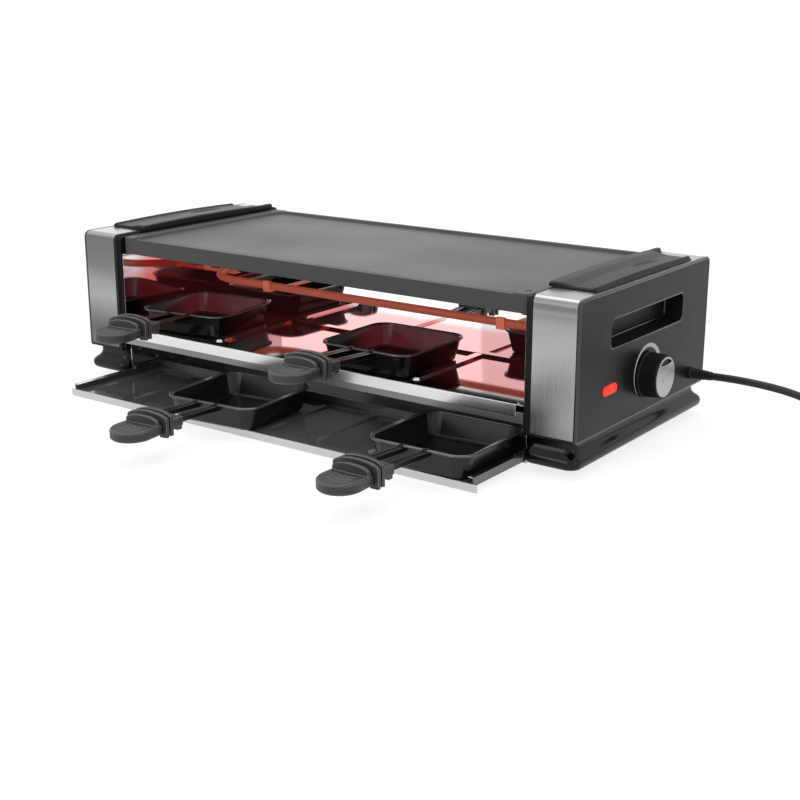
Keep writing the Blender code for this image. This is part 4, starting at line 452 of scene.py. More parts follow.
def glowing(name, color, glow, strength, roughness, specular=0.5):
    """A heated or lit surface: its own light over a coloured body."""
    material = moulded(
        name, color, roughness, grain=500.0, cloud=60.0, spread=0.2, edge=1.0, specular=specular,
    )
    grain = next(node for node in material.node_tree.nodes
                 if node.type == "GROUP" and node.node_tree == MOULDED_GRAIN)
    shine = node_tools(material.node_tree)("ShaderNodeMix", {
        "Factor": grain.outputs["Cloud"], "A": shade_of(glow, 0.75), "B": shade_of(glow, 1.2),
    }, data_type="RGBA")
    light_up(material, shine, strength)
    return material


# Brushing: along X on sheets and strips, up and down on the bands
ALONG_X = {"lines": (14.0, 2600.0, 2600.0), "patches": (3.0, 120.0, 120.0)}
ON_BANDS = {"lines": (2600.0, 14.0, 14.0), "patches": (14.0, 6.0, 22.0), "spread": 0.20, "streak": 0.22}
BAND_STEEL, BAND_ROUGHNESS = (0.43, 0.43, 0.435), 0.27

FINISHES = {
    "black_plastic": moulded("satin_black_cover", (0.0080, 0.0080, 0.0084), 0.38, edge=3.0, specular=0.17),
    # Brushed steel of this slot carries the right band's painted reflections by height.
    "brushed_steel": brushed("brushed_band", BAND_STEEL, BAND_ROUGHNESS, painted_tones=RIGHT_BAND_PAINTED_REFLECTIONS, **ON_BANDS),
    # Painted glow of the heater on the deck sheet and the liners: a red tint and a faint light of their own.
    "polished_steel": with_painted_glow(
        brushed("mirror_sheet", (0.70, 0.69, 0.70), 0.05, depth=0.000002, spread=0.04, **ALONG_X),
        (0.98, 0.32, 0.33), (1.0, 0.18, 0.20), 0.012, near=0.084, far=0.112,
    ),
    "grey_steel": brushed("dull_sheet", (0.26, 0.26, 0.26), 0.36, **ALONG_X),
    "black_steel": moulded("black_enamelled_rail", (0.012, 0.012, 0.0125), 0.22),
    "plate_coating": moulded(
        "plate_non_stick", (0.076, 0.076, 0.077), 0.44, grain=1400.0, depth=0.00003, cloud=9.0,
        edge=1.4, specular=0.26,
    ),
    # Painted glow of the heater on the deck pans' walls; their edges are also painted lighter as rim
    # highlights.
    "pan_coating": with_painted_glow(
        moulded("pan_non_stick", (0.0050, 0.0046, 0.0048), 0.15, grain=1200.0, depth=0.000008,
                edge=24.0, edge_radius=0.0008, specular=0.13),
        (1.0, 0.8, 0.85), (1.0, 0.15, 0.20), 0.085, near=0.045, far=0.098, lit="Heat On Walls",
    ),
    "grip_plastic": moulded(
        "grip_plastic", (0.046, 0.046, 0.0465), 0.42, grain=700.0, depth=0.00004,
        edge=8.0, edge_radius=0.0009, specular=0.40,
    ),
    "heater_sheath": glowing("hot_tube", (0.22, 0.06, 0.04), (0.46, 0.085, 0.048), 0.50, 0.35),
    "tray_coating": moulded(
        "tray_enamel", (0.090, 0.090, 0.091), 0.15, grain=600.0, depth=0.000008, cloud=11.0,
        spread=0.5, edge=2.0, specular=0.7, coat=0.3, coat_roughness=0.08,
    ),
    "lamp_red": glowing("lit_lens", (0.70, 0.02, 0.012), (1.0, 0.030, 0.010), 0.80, 0.25, specular=0.12),
    "cap_silver": brushed("knob_face", (0.39, 0.39, 0.395), 0.30, (900.0, 900.0, 900.0), spread=0.05),
    "rubber": moulded("rubber", (0.014, 0.014, 0.0145), 0.60, grain=800.0, depth=0.00003, specular=0.3),
    "cord_sheath": moulded(
        "lead_rubber", (0.022, 0.022, 0.023), 0.50, grain=800.0, depth=0.00003, specular=0.35,
    ),
    "ceramic": moulded("fired_ceramic", (0.75, 0.73, 0.68), 0.55, edge=1.0),
    "phenolic": moulded("phenolic_resin", (0.10, 0.07, 0.05), 0.5),
}
PRINTED_INK = moulded(
    "printed_ink", (0.72, 0.72, 0.72), 0.55, grain=1500.0, depth=0.000004, edge=1.0, specular=0.3,
)
EDGE_PLASTIC = moulded("rounded_plastic_edge", (0.012, 0.012, 0.0122), 0.20, edge=1.2, specular=0.7)
FOOT_PLASTIC = moulded(
    "glossy_black_foot", (0.0030, 0.0030, 0.0031), 0.18, edge=1.2, depth=0.000006, specular=0.24,
)
CARRY_PLASTIC = moulded(
    "carry_grip_plastic", (0.016, 0.016, 0.0163), 0.40, grain=700.0, depth=0.00003, edge=4.0, specular=0.16,
)
# The pans on the trays have the deck pans' coating; this lighter, glossier copy is a painted sheen for the
# light they get.
TRAY_PAN_PAINTED_SHEEN = moulded(
    "tray_pan_coating_painted_sheen", (0.0080, 0.0080, 0.0082), 0.22, grain=1200.0, depth=0.000012,
    edge=12.0, edge_radius=0.0008, specular=0.34,
)
# Painted highlight: the pans' coating coloured lighter on the rim beads.
RIM_PAINTED_HIGHLIGHT = moulded(
    "pan_rim", (0.052, 0.048, 0.049), 0.12, grain=1200.0, depth=0.000004, edge=1.0, specular=0.9,
)
PIN_METAL = brushed("plated_pin", (0.62, 0.60, 0.55), 0.22, (40.0, 1800.0, 40.0), spread=0.05)
DECK_LIP_STEEL = brushed("deck_lip_strip", (0.70, 0.70, 0.71), 0.20, depth=0.000006, spread=0.06, **ALONG_X)
TRAY_LIP_STEEL = brushed("tray_lip_strip", (0.56, 0.56, 0.565), 0.22, depth=0.000006, spread=0.16,
                         lines=(14.0, 2600.0, 2600.0), patches=(16.0, 60.0, 60.0))
GUIDE_STEEL = brushed("guide_rail_steel", (0.46, 0.46, 0.465), 0.16, depth=0.000004, spread=0.10,
                      lines=(2600.0, 14.0, 2600.0), patches=(60.0, 16.0, 60.0))
# Painted glow of the heater on its clips and holder.
CLIP_PAINTED_GLOW = with_painted_glow(brushed("clip_painted_glow", (0.40, 0.36, 0.34), 0.34, **ALONG_X),
                  (0.9, 0.35, 0.22), (1.0, 0.16, 0.08), 0.22)
# The left band: the same steel with its own painted reflections, unlike the right band's.
LEFT_BAND_STEEL = brushed(
    "left_brushed_band", BAND_STEEL, BAND_ROUGHNESS, painted_tones=LEFT_BAND_PAINTED_REFLECTIONS, **ON_BANDS,
)

# Nodes whose finish isn't the one that their slot names
NODE_FINISHES = {
    "left_steel_band": LEFT_BAND_STEEL,
    "front_deck_lip": DECK_LIP_STEEL, "rear_deck_lip": DECK_LIP_STEEL,
    "front_tray_lip": TRAY_LIP_STEEL, "rear_tray_lip": TRAY_LIP_STEEL,
    "left_tray_guide": GUIDE_STEEL, "right_tray_guide": GUIDE_STEEL,
    "left_carry_grip": CARRY_PLASTIC, "right_carry_grip": CARRY_PLASTIC,
    "left_heater_clip": CLIP_PAINTED_GLOW, "right_heater_clip": CLIP_PAINTED_GLOW, "heater_holder": CLIP_PAINTED_GLOW,
    "front_tray_pan_left": TRAY_PAN_PAINTED_SHEEN, "front_tray_pan_right": TRAY_PAN_PAINTED_SHEEN,
    "rear_tray_pan_left": TRAY_PAN_PAINTED_SHEEN, "rear_tray_pan_right": TRAY_PAN_PAINTED_SHEEN,
}


def finish_nodes():
    """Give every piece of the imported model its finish."""
    for row in frame["record"]["subparts"]:
        mesh = NODES[row["node"]].data
        mesh.materials.clear()
        mesh.materials.append(NODE_FINISHES.get(row["node"], FINISHES[row["material_slot"]]))


def declare(piece, body="grill", stands_for=()):
    """Say what a made piece is: the body it rides on and the nodes it stands for, which it hides."""
    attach(piece, body)
    if stands_for:
        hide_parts(*stands_for)
    return piece


def placed(name, data):
    """New object in the scene."""
    item = bpy.data.objects.new(name, data)
    bpy.context.scene.collection.objects.link(item)
    return item


def finished(bm, name, finish):
    """Object at the origin from a mesh in world places, its faces turned outwards."""
    bmesh.ops.remove_doubles(bm, verts=bm.verts, dist=MERGE_DISTANCE)
    bmesh.ops.recalc_face_normals(bm, faces=bm.faces)
    mesh = bpy.data.meshes.new(name)
    bm.to_mesh(mesh)
    bm.free()
    mesh.materials.append(finish)
    for face in mesh.polygons:
        face.use_smooth = True
    mesh.set_sharp_from_angle(angle=SHARP_ANGLE)
    return placed(name, mesh)


def plain_mesh(carrier):
    """Mesh of a curve or of an object with modifiers, which is then removed."""
    seen = carrier.evaluated_get(bpy.context.evaluated_depsgraph_get())
    mesh = bpy.data.meshes.new_from_object(seen)
    bpy.data.objects.remove(carrier)
    return mesh


def add_line(curve, places, cyclic=False):
    """Straight segments through the places, as one line of a curve."""
    line = curve.splines.new("POLY")
    line.points.add(len(places) - 1)
    line.use_cyclic_u = cyclic
    for point, place in zip(line.points, places):
        point.co = (*place, 1.0)


def add_loft(bm, rings, closed=False):
    """Skin over rings of equal count, with ends capped or the last ring joined to the first."""
    rows = [[bm.verts.new(place) for place in ring] for ring in rings]
    count = len(rows[0])
    pairs = list(zip(rows, rows[1:])) + ([(rows[-1], rows[0])] if closed else [])
    for near, far in pairs:
        for index in range(count):
            after = (index + 1) % count
            bm.faces.new((near[index], near[after], far[after], far[index]))
    if not closed:
        bm.faces.new(rows[0][::-1])
        bm.faces.new(rows[-1])


def turned_rings(profile, centre, axis, steps=48):
    """Rings about an axis through centre, one for each (radius, distance along) of the profile."""
    rings = []
    for radius, along in profile:
        ring = []
        for step in range(steps):
            u = radius * cos(tau * step / steps)
            v = radius * sin(tau * step / steps)
            local = {"X": (along, u, v), "Y": (u, along, v), "Z": (u, v, along)}[axis]
            ring.append(Vector(centre) + Vector(local))
        rings.append(ring)
    return rings


def bead_rings(path, radius, steps=8):
    """Round sections of a bead that follows a closed path in a plane across X."""
    count = len(path)
    rings = []
    across = Vector((1.0, 0.0, 0.0))
    for index, place in enumerate(path):
        ahead = (Vector(path[(index + 1) % count]) - Vector(path[index - 1])).normalized()
        outward = ahead.cross(across)
        rings.append([
            Vector(place) + radius * (cos(tau * step / steps) * outward + sin(tau * step / steps) * across)
            for step in range(steps)
        ])
    return rings


def rounded_path(x, middle, size, low_radius, high_radius, steps=6):
    """Rounded rectangle in a plane across X, with its middle and size along Y and Z."""
    path = []
    for side_y, side_z, start, radius in (
        (1, -1, -pi / 2, low_radius), (1, 1, 0.0, high_radius),
        (-1, 1, pi / 2, high_radius), (-1, -1, pi, low_radius),
    ):
        for step in range(steps + 1):
            angle = start + pi / 2 * step / steps
            path.append((
                x, middle[0] + side_y * (size[0] / 2 - radius) + radius * cos(angle),
                middle[1] + side_z * (size[1] / 2 - radius) + radius * sin(angle),
            ))
    return path


def stadium(middle, length, width, steps=6):
    """Outline of a slot with round ends, long along X."""
    outline = []
    for side, start in ((1, -pi / 2), (-1, pi / 2)):
        for step in range(steps + 1):
            angle = start + pi * step / steps
            outline.append((
                middle[0] + side * (length - width) / 2 + width / 2 * cos(angle),
                middle[1] + width / 2 * sin(angle),
            ))
    return outline


def smooth_through(points, steps):
    """Smooth row of places through the given ones."""
    places = [Vector(point) for point in points]
    last = len(places) - 1
    smooth = []
    for index in range(last):
        before, start = places[max(index - 1, 0)], places[index]
        end, after = places[index + 1], places[min(index + 2, last)]
        for step in range(steps):
            t = step / steps
            smooth.append(0.5 * (
                2 * start + (end - before) * t + (2 * before - 5 * start + 4 * end - after) * t * t
                + (3 * start - before - 3 * end + after) * t ** 3
            ))
    return smooth + [places[-1]]


def knob_middle():
    """Where the knob's axis is along Y and Z."""
    low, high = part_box("knob")
    return (low[1] + high[1]) / 2, (low[2] + high[2]) / 2


def pan_place(x, y, level, turn):
    """Where a pan's own middle and floor are in the world."""
    return Matrix.Translation((x, y, level)) @ Matrix.Rotation(radians(turn), 4, "Z")


def corner_spots(low, high, inset, level):
    """Upward places near the four corners of a box."""
    return [((x, y, level), UPWARD) for x in (low[0] + inset[0], high[0] - inset[0])
            for y in (low[1] + inset[1], high[1] - inset[1])]


def make_head_tree():
    """Geometry nodes: one fastener head on each point, standing along that point's outward direction."""
    tree = bpy.data.node_groups.new("fastener_heads", "GeometryNodeTree")
    face = tree.interface
    for label, kind in (
        ("Geometry", "NodeSocketGeometry"), ("Head", "NodeSocketObject"), ("Radius", "NodeSocketFloat"),
        ("Height", "NodeSocketFloat"), ("Finish", "NodeSocketMaterial"),
    ):
        face.new_socket(label, in_out="INPUT", socket_type=kind)
    face.new_socket("Geometry", in_out="OUTPUT", socket_type="NodeSocketGeometry")
    add = node_tools(tree)
    given = add("NodeGroupInput").outputs
    head = add("GeometryNodeObjectInfo", {"Object": given["Head"]})
    outward = add("GeometryNodeInputNamedAttribute", {"Name": "outward"}, data_type="FLOAT_VECTOR")
    turn = add("FunctionNodeAlignRotationToVector", {"Vector": outward.outputs["Attribute"]}, axis="Z")
    size = add("ShaderNodeCombineXYZ", {"X": given["Radius"], "Y": given["Radius"], "Z": given["Height"]})
    heads = add("GeometryNodeInstanceOnPoints", {
        "Points": given["Geometry"], "Instance": head.outputs["Geometry"],
        "Rotation": turn.outputs["Rotation"], "Scale": size.outputs["Vector"],
    })
    solid = add("GeometryNodeRealizeInstances", {"Geometry": heads.outputs["Instances"]})
    coloured = add("GeometryNodeSetMaterial", {
        "Geometry": solid.outputs["Geometry"], "Material": given["Finish"],
    })
    add("NodeGroupOutput", {"Geometry": coloured.outputs["Geometry"]})
    return tree


HEAD_TREE = make_head_tree()


def head_pattern(name, profile, recess=()):
    """Head of unit radius and height: a domed rivet, or a screw with a cross recess of the given depths."""
    bm = bmesh.new()
    rings = turned_rings(profile, (0.0, 0.0, 0.0), "Z", HEAD_STEPS)
    for depth in recess:
        cross = []
        for step in range(HEAD_STEPS):
            angle = tau * step / HEAD_STEPS
            reach = CROSS_HUB + CROSS_ARM * abs(cos(2 * angle)) ** 3
            cross.append(Vector((reach * cos(angle), reach * sin(angle), depth)))
        rings.append(cross)
    add_loft(bm, rings)
    return finished(bm, name, FINISHES["grey_steel"])


def make_heads(name, spots, pattern, size, finish=FINISHES["grey_steel"]):
    """Fastener heads on the given places, as one plain mesh."""
    host = bpy.data.meshes.new(name)
    host.from_pydata([place for place, outward in spots], [], [])
    direction = host.attributes.new("outward", "FLOAT_VECTOR", "POINT")
    for row, (place, outward) in zip(direction.data, spots):
        row.vector = outward
    carrier = placed(f"{name}_points", host)
    nodes = carrier.modifiers.new("heads", "NODES")
    nodes.node_group = HEAD_TREE
    values = {"Head": pattern, "Radius": size[0], "Height": size[1], "Finish": finish}
    for socket in HEAD_TREE.interface.items_tree:
        if socket.in_out == "INPUT" and socket.name in values:
            nodes[socket.identifier] = values[socket.name]
    mesh = plain_mesh(carrier)
    mesh.name = name
    return placed(name, mesh)


def make_dial():
    """Printed crescent that widens from the low setting to the high one, on the right cover."""
    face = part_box("right_side_cover")[1][0]
    middle_y, middle_z = knob_middle()
    rings = []
    for step in range(DIAL_STEPS + 1):
        share = step / DIAL_STEPS
        angle = DIAL_START + (DIAL_END - DIAL_START) * share
        outer = DIAL_RADII[0] + (DIAL_RADII[1] - DIAL_RADII[0]) * share
        inner = outer - DIAL_WIDTHS[0] - (DIAL_WIDTHS[1] - DIAL_WIDTHS[0]) * share ** DIAL_SWELL
        corners = ((inner, -INK_SUNK), (outer, -INK_SUNK), (outer, INK_PROUD), (inner, INK_PROUD))
        rings.append([
            (face + depth, middle_y + radius * cos(angle), middle_z + radius * sin(angle))
            for radius, depth in corners
        ])
    bm = bmesh.new()
    add_loft(bm, rings)
    declare(finished(bm, "dial_crescent", PRINTED_INK))


def make_knob_trim():
    """Smooth skirt behind the knob's ribs, and a turned ring in the middle of its face."""
    low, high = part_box("knob")
    radius = (high[2] - low[2]) / 2
    skirt = [(radius + out, along) for out, along in SKIRT_PROFILE]
    bm = bmesh.new()
    add_loft(bm, turned_rings(skirt, (low[0], *knob_middle()), "X", SKIRT_STEPS), closed=True)
    declare(finished(bm, "knob_skirt", FINISHES["black_plastic"]), "knob_set")
    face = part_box("knob_cap")[1][0]
    bm = bmesh.new()
    add_loft(bm, turned_rings(CAP_RING_PROFILE, (face, *knob_middle()), "X"), closed=True)
    declare(finished(bm, "cap_turned_ring", FINISHES["cap_silver"]), "knob_set")


def make_cover_beads():
    """Rounded edges of the covers: round the outside, the recess's mouth and its floor."""
    for side, cover in ((-1, "left_side_cover"), (1, "right_side_cover")):
        low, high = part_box(cover)
        face = high[0] if side > 0 else low[0]
        whole = ((high[1] - low[1], high[2] - low[2]), (low[2] + high[2]) / 2, COVER_CORNERS, COVER_BEAD)
        recess = (RECESS_SIZE, RECESS_MIDDLE, (RECESS_CORNER, RECESS_CORNER))
        bm = bmesh.new()
        for size, middle_z, corners, (inset, depth, radius) in (
            whole, *((*recess, bead) for bead in RECESS_BEADS),
        ):
            drawn_in = (size[0] - 2 * inset, size[1] - 2 * inset)
            radii = [max(corner - inset, LEAST_CORNER) for corner in corners]
            path = rounded_path(face - side * depth, (0.0, middle_z), drawn_in, *radii)
            add_loft(bm, bead_rings(path, radius), closed=True)
        declare(finished(bm, f"{cover}_edge_beads", EDGE_PLASTIC))


def make_skids():
    """Feet with a round rim and a cove below the housings."""
    for side, node in ((-1, "left_skid"), (1, "right_skid")):
        low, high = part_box(node)
        inner, outer = (low[0], high[0]) if side > 0 else (high[0], low[0])
        rings = []
        for share, back in smooth_through(SKID_SECTION, SKID_SMOOTHING):
            drawn_in = SKID_FLARE * min(max(back, 0.0), 1.0)
            edge = outer - side * drawn_in
            level = low[2] + (high[2] - low[2]) * share
            size = (abs(edge - inner), high[1] - low[1] - 2 * drawn_in)
            outline = rounded_path(
                level, ((inner + edge) / 2, 0.0), size, SKID_CORNER, SKID_CORNER, SKID_CORNER_STEPS,
            )
            rings.append([(x, y, z) for z, x, y in outline])
        bm = bmesh.new()
        add_loft(bm, rings)
        declare(finished(bm, f"{node}_foot", FOOT_PLASTIC), stands_for=(node,))


def make_bottom_sheet():
    """Thin black bottom sheet between the tray guides, with two rows of vent slots."""
    # Partly painted shade: a likely real sheet, whose black also stands for the deep shade under the grill
    # that the evenly lit floor doesn't keep.
    left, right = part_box("left_tray_guide"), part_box("right_tray_guide")
    near_x, far_x = left[1][0] + SHEET_INSET, right[0][0] - SHEET_INSET
    near_y, far_y = left[0][1] + SHEET_END, left[1][1] - SHEET_END
    outlines = [[(near_x, near_y), (far_x, near_y), (far_x, far_y), (near_x, far_y)]]
    middle = (near_x + far_x) / 2
    for row in (-1, 1):
        for index in range(VENT_COUNT):
            x = middle + (index - (VENT_COUNT - 1) / 2) * VENT_PITCH
            outlines.append(stadium((x, row * VENT_ROW), *VENT_SIZE))
    flat = bpy.data.curves.new("bottom_sheet_outline", "CURVE")
    flat.dimensions, flat.fill_mode, flat.extrude = "2D", "BOTH", SHEET_THICKNESS / 2
    for outline in outlines:
        add_line(flat, [(x, y, 0.0) for x, y in outline], cyclic=True)
    bm = bmesh.new()
    bm.from_mesh(plain_mesh(placed("bottom_sheet_outline", flat)))
    bmesh.ops.translate(bm, verts=bm.verts, vec=(0.0, 0.0, left[0][2] + SHEET_LEVEL))
    declare(finished(bm, "bottom_sheet", FINISHES["black_steel"]))


def make_tray_hems():
    """Inward hem along the top of each tray's side rails."""
    for word, row in (("front", -1), ("rear", 1)):
        low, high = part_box(f"{word}_tray")
        near, far = sorted((row * HEM_ENDS[0], row * HEM_ENDS[1]))
        bm = bmesh.new()
        for side, edge in ((-1, low[0]), (1, high[0])):
            outline = [(edge - side * inward, high[2] - down) for inward, down in HEM_SECTION]
            add_loft(bm, [[(x, y, z) for x, z in outline] for y in (near, far)])
        declare(finished(bm, f"{word}_tray_hems", TRAY_LIP_STEEL), f"{word}_tray_set")


def make_pan_rims():
    """Rolled edge round each pan: one bead outside and one where the rim meets the wall, coloured lighter
    than the pan as a painted highlight.
    """
    for name, *where in PAN_PLACES:
        bm = bmesh.new()
        for inset, depth, radius in PAN_BEADS:
            size, corner = PAN_RIM_SIZE - 2 * inset, PAN_RIM_CORNER - inset
            outline = rounded_path(
                PAN_RIM_LEVEL - depth, (0.0, 0.0), (size, size), corner, corner, PAN_RIM_STEPS,
            )
            rings = [[(x, y, z) for z, x, y in ring] for ring in bead_rings(outline, radius)]
            add_loft(bm, rings, closed=True)
        bmesh.ops.transform(bm, matrix=pan_place(*where), verts=bm.verts)
        declare(finished(bm, f"{name}_rim", RIM_PAINTED_HIGHLIGHT), f"{name}_set")


def make_fasteners():
    """Rivets, screws and weld spots, one mesh for each body and kind."""
    rivet = head_pattern("rivet_pattern", RIVET_PROFILE)
    screw = head_pattern("screw_pattern", SCREW_PROFILE, SCREW_RECESS)
    spots = []
    for side, guide in ((-1, "left_tray_guide"), (1, "right_tray_guide")):
        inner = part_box(guide)[1 if side < 0 else 0][0] + side * GUIDE_FACE_BACK
        for row in (-1, 1):
            spots += [((inner, row * y, z), (-side, 0.0, 0.0)) for y, z in GUIDE_RIVET_PLACES]
    declare(make_heads("guide_rivets", spots, rivet, GUIDE_RIVET))
    low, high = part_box("pan_deck")
    spots = corner_spots(low, high, DECK_RIVET_INSET, high[2] - DECK_RIDGE)
    declare(make_heads("deck_rivets", spots, rivet, DECK_RIVET))
    low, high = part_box("grill_plate")
    spots = corner_spots(low, high, PEG_INSET, high[2] - PEG_DEPTH)
    declare(make_heads("plate_pegs", spots, rivet, PLATE_PEG), "plate_set")
    spots = []
    for skid in ("left_skid", "right_skid"):
        low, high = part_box(skid)
        spots += [(((low[0] + high[0]) / 2, y, low[2]), DOWNWARD) for y in FOOT_SCREW_PLACES]
    declare(make_heads("foot_screws", spots, screw, FOOT_SCREW))
    for name, *where in PAN_PLACES:
        feet = [Vector((side * ARM_SPREAD / 2, WELD_ALONG, WELD_HEIGHT)) for side in (-1, 1)]
        spots = [(pan_place(*where) @ foot, UPWARD) for foot in feet]
        welds = make_heads(f"{name}_welds", spots, rivet, PAN_WELD, FINISHES["pan_coating"])
        declare(welds, f"{name}_set")
    for pattern in (rivet, screw):
        bpy.data.objects.remove(pattern)


def make_relief():
    """Ribbed strain relief round the lead."""
    start = Vector(LEAD_ROUTE[0])
    tip, shoulder = start.x + RELIEF_OVER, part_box("right_side_cover")[1][0]
    length = tip - shoulder
    profile = [(RELIEF_RADII[0] * share, along) for share, along in RELIEF_COLLAR]
    wide, narrow = profile[-1][0], RELIEF_RADII[1]
    pitch = (length - sum(RELIEF_RIB_ENDS)) / RELIEF_RIBS
    for rib in range(RELIEF_RIBS):
        begin = RELIEF_RIB_ENDS[0] + rib * pitch
        outer = wide + (narrow - wide) * rib / (RELIEF_RIBS - 1)
        profile += [(outer - dip, begin + share * pitch) for dip, share in RELIEF_RIB]
    profile.append((narrow - RELIEF_ROUND, length))
    bm = bmesh.new()
    add_loft(bm, turned_rings(profile, (shoulder, start.y, start.z), "X"))
    return declare(finished(bm, "lead_relief", FINISHES["rubber"]), stands_for=("strain_relief",))


def make_plug():
    """Round two-pin mains plug with a ribbed sleeve, lying beside the coil."""
    low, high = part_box("mains_plug")
    middle = ((low[0] + high[0]) / 2, low[1], (low[2] + high[2]) / 2)
    radius = (high[0] - low[0]) / 2
    face = high[1] - low[1] - PIN_LENGTH
    profile = [(PLUG_START, 0.0)]
    for rib in range(PLUG_RIBS):
        begin = PLUG_RIB_START + rib * PLUG_RIB_PITCH
        outer = PLUG_SLEEVE[0] + (PLUG_SLEEVE[1] - PLUG_SLEEVE[0]) * rib / (PLUG_RIBS - 1)
        profile += [(outer - dip, begin + along) for dip, along in PLUG_RIB]
    neck = profile[-1][1] + PLUG_NECK_GAP
    waist = neck + (face - neck) * PLUG_WAIST
    profile += [
        (PLUG_NECK, neck), (radius * PLUG_CONE[0], neck + PLUG_CONE[1]),
        (radius * PLUG_FLARE[0], waist + PLUG_FLARE[1]),
        *((radius * share, waist + along) for share, along in PLUG_SHOULDER),
        *((radius - inset, face - back) for inset, back in PLUG_EDGE),
    ]
    bm = bmesh.new()
    add_loft(bm, turned_rings(profile, middle, "Y", PLUG_STEPS))
    body = declare(finished(bm, "plug_body", FINISHES["rubber"]), stands_for=("mains_plug",))
    pin = [(PIN_RADIUS, face - PIN_SUNK)]
    pin += [(PIN_RADIUS * share, face + PIN_LENGTH - back) for share, back in PIN_TIP]
    bm = bmesh.new()
    for side in (-1, 1):
        foot = (middle[0] + side * PIN_SPREAD / 2, middle[1], middle[2])
        add_loft(bm, turned_rings(pin, foot, "Y", PIN_STEPS))
    pins = declare(finished(bm, "plug_pins", PIN_METAL))
    return [body, pins]


def coil_places():
    """Middle line of the coil and of the tail that rises to the plug."""
    first, climb_turns = COIL_TURNS[:2]
    last_x, last_y, level = LEAD_ROUTE[-1]
    centre = Vector((
        last_x + COIL_START + LEAD_DIAMETER, last_y + COIL_RADIUS + COIL_PITCH * first, level,
    ))
    turns = sum(COIL_TURNS)
    count = round(turns * COIL_STEPS)
    places = []
    for index in range(count + 1):
        turn = turns * index / count
        climb = min(max((turn - first) / climb_turns, 0.0), 1.0)
        rest = max(first - turn, 0.0) + max(turn - first - climb_turns, 0.0)
        radius = COIL_RADIUS + COIL_PITCH * rest - COIL_DIP * sin(pi * climb)
        angle = tau * turn - pi / 2
        rise = COIL_PITCH * (1 - cos(pi * climb)) / 2
        places.append(centre + Vector((radius * cos(angle), radius * sin(angle), rise)))
    end = places[-1]
    for step in range(1, TAIL_STEPS + 1):
        share = step / TAIL_STEPS
        lift = (1 - cos(pi * min(share / TAIL_RISEN, 1.0))) / 2
        places.append(Vector((end.x, end.y + TAIL_LENGTH * share, end.z + (PLUG_AXIS - end.z) * lift)))
    return places


def make_lead(fittings):
    """Mains lead from the strain relief to the plug, one curve through the coil."""
    places = smooth_through(LEAD_ROUTE, LEAD_SMOOTHING) + coil_places()
    curve = bpy.data.curves.new("mains_lead", "CURVE")
    curve.dimensions = "3D"
    curve.bevel_depth = LEAD_DIAMETER / 2
    curve.bevel_resolution = 5
    curve.use_fill_caps = True
    add_line(curve, places)
    curve.materials.append(FINISHES["cord_sheath"])
    lead = declare(placed("mains_lead", curve), stands_for=("mains_cord", "cord_coil"))


def make_camera():
    """Camera where the photograph was taken from."""
    ahead = Vector((
        -sin(CAMERA_TURN) * cos(CAMERA_TILT), cos(CAMERA_TURN) * cos(CAMERA_TILT), sin(CAMERA_TILT),
    ))
    level = Vector((cos(CAMERA_TURN), sin(CAMERA_TURN), 0.0))
    upward = level.cross(ahead)
    right = level * cos(CAMERA_ROLL) + upward * sin(CAMERA_ROLL)
    top = upward * cos(CAMERA_ROLL) - level * sin(CAMERA_ROLL)
    camera = placed("photo_camera", bpy.data.cameras.new("photo_camera"))
    camera.matrix_world = (
        Matrix.Translation(CAMERA_PLACE) @ Matrix((right, top, -ahead)).transposed().to_4x4()
    )
    camera.data.lens = FOCAL_PIXELS / PHOTO_SIDE * camera.data.sensor_width
    camera.data.clip_start = CAMERA_NEAR
    bpy.context.scene.camera = camera


def seen_directly(add):
    """1 for camera, mirror and glass rays, 0 for the rays that light the object."""
    path = add("ShaderNodeLightPath")
    first = add("ShaderNodeMath", {
        0: path.outputs["Is Camera Ray"], 1: path.outputs["Is Glossy Ray"],
    }, operation="MAXIMUM")
    return add("ShaderNodeMath", {
        0: first.outputs[0], 1: path.outputs["Is Transmission Ray"],
    }, operation="MAXIMUM").outputs[0]


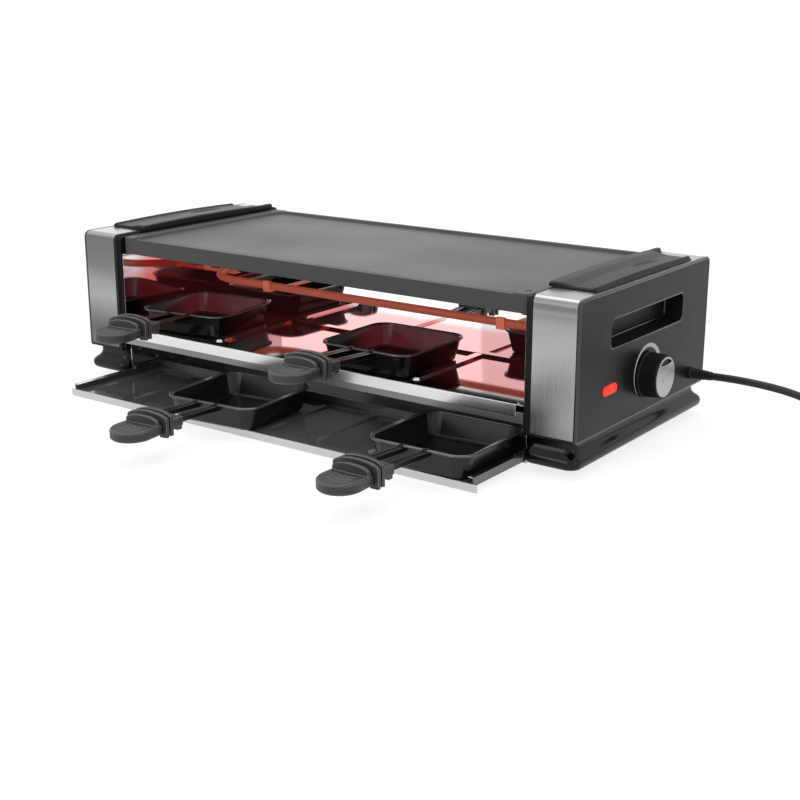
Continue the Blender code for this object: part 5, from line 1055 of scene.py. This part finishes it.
def make_floor():
    """Plain white table that keeps the grill's shadow."""
    bm = bmesh.new()
    bmesh.ops.create_grid(bm, x_segments=1, y_segments=1, size=FLOOR_REACH)
    mesh = bpy.data.meshes.new("floor")
    bm.to_mesh(mesh)
    bm.free()
    floor = placed("floor", mesh)
    floor.location.z = FLOOR_LEVEL
    material, add = blank_material("white_table")
    matt = add("ShaderNodeBsdfDiffuse", {"Color": (FLOOR_SHADE, FLOOR_SHADE, FLOOR_SHADE, 1.0)})
    light = add("ShaderNodeEmission", {"Color": (1.0, 1.0, 1.0, 1.0), "Strength": FLOOR_LIGHT})
    dark = add("ShaderNodeEmission", {"Strength": 0.0})
    own = add("ShaderNodeMixShader", {0: seen_directly(add), 1: dark.outputs[0], 2: light.outputs[0]})
    both = add("ShaderNodeAddShader", {0: matt.outputs[0], 1: own.outputs[0]})
    add("ShaderNodeOutputMaterial", {"Surface": both.outputs[0]})
    mesh.materials.append(material)


def make_world():
    """White surroundings with an even fill light."""
    world = bpy.data.worlds.new("studio")
    bpy.context.scene.world = world
    world.use_nodes = True
    tree = world.node_tree
    tree.nodes.clear()
    add = node_tools(tree)
    shown = add("ShaderNodeMapRange", {"Value": seen_directly(add), "To Min": FILL_LIGHT, "To Max": 1.0})
    sky = add("ShaderNodeBackground", {"Color": (1.0, 1.0, 1.0, 1.0), "Strength": shown.outputs["Result"]})
    add("ShaderNodeOutputWorld", {"Surface": sky.outputs[0]})


def make_lamps():
    """Soft rectangular studio lamps: overhead, in front, beside and behind."""
    for name, place, target, size, watts in LAMPS:
        light = bpy.data.lights.new(name, "AREA")
        light.shape = "RECTANGLE"
        light.size, light.size_y = size
        light.energy = watts
        lamp = placed(name, light)
        lamp.location = place
        lamp.rotation_euler = (Vector(target) - Vector(place)).to_track_quat("-Z", "Y").to_euler()


bpy.context.scene.view_settings.view_transform = "Standard"
make_camera()
make_lead([make_relief(), *make_plug()])
finish_nodes()
make_dial()
make_knob_trim()
make_cover_beads()
make_skids()
make_bottom_sheet()
make_tray_hems()
make_pan_rims()
make_fasteners()
make_floor()
make_world()
make_lamps()
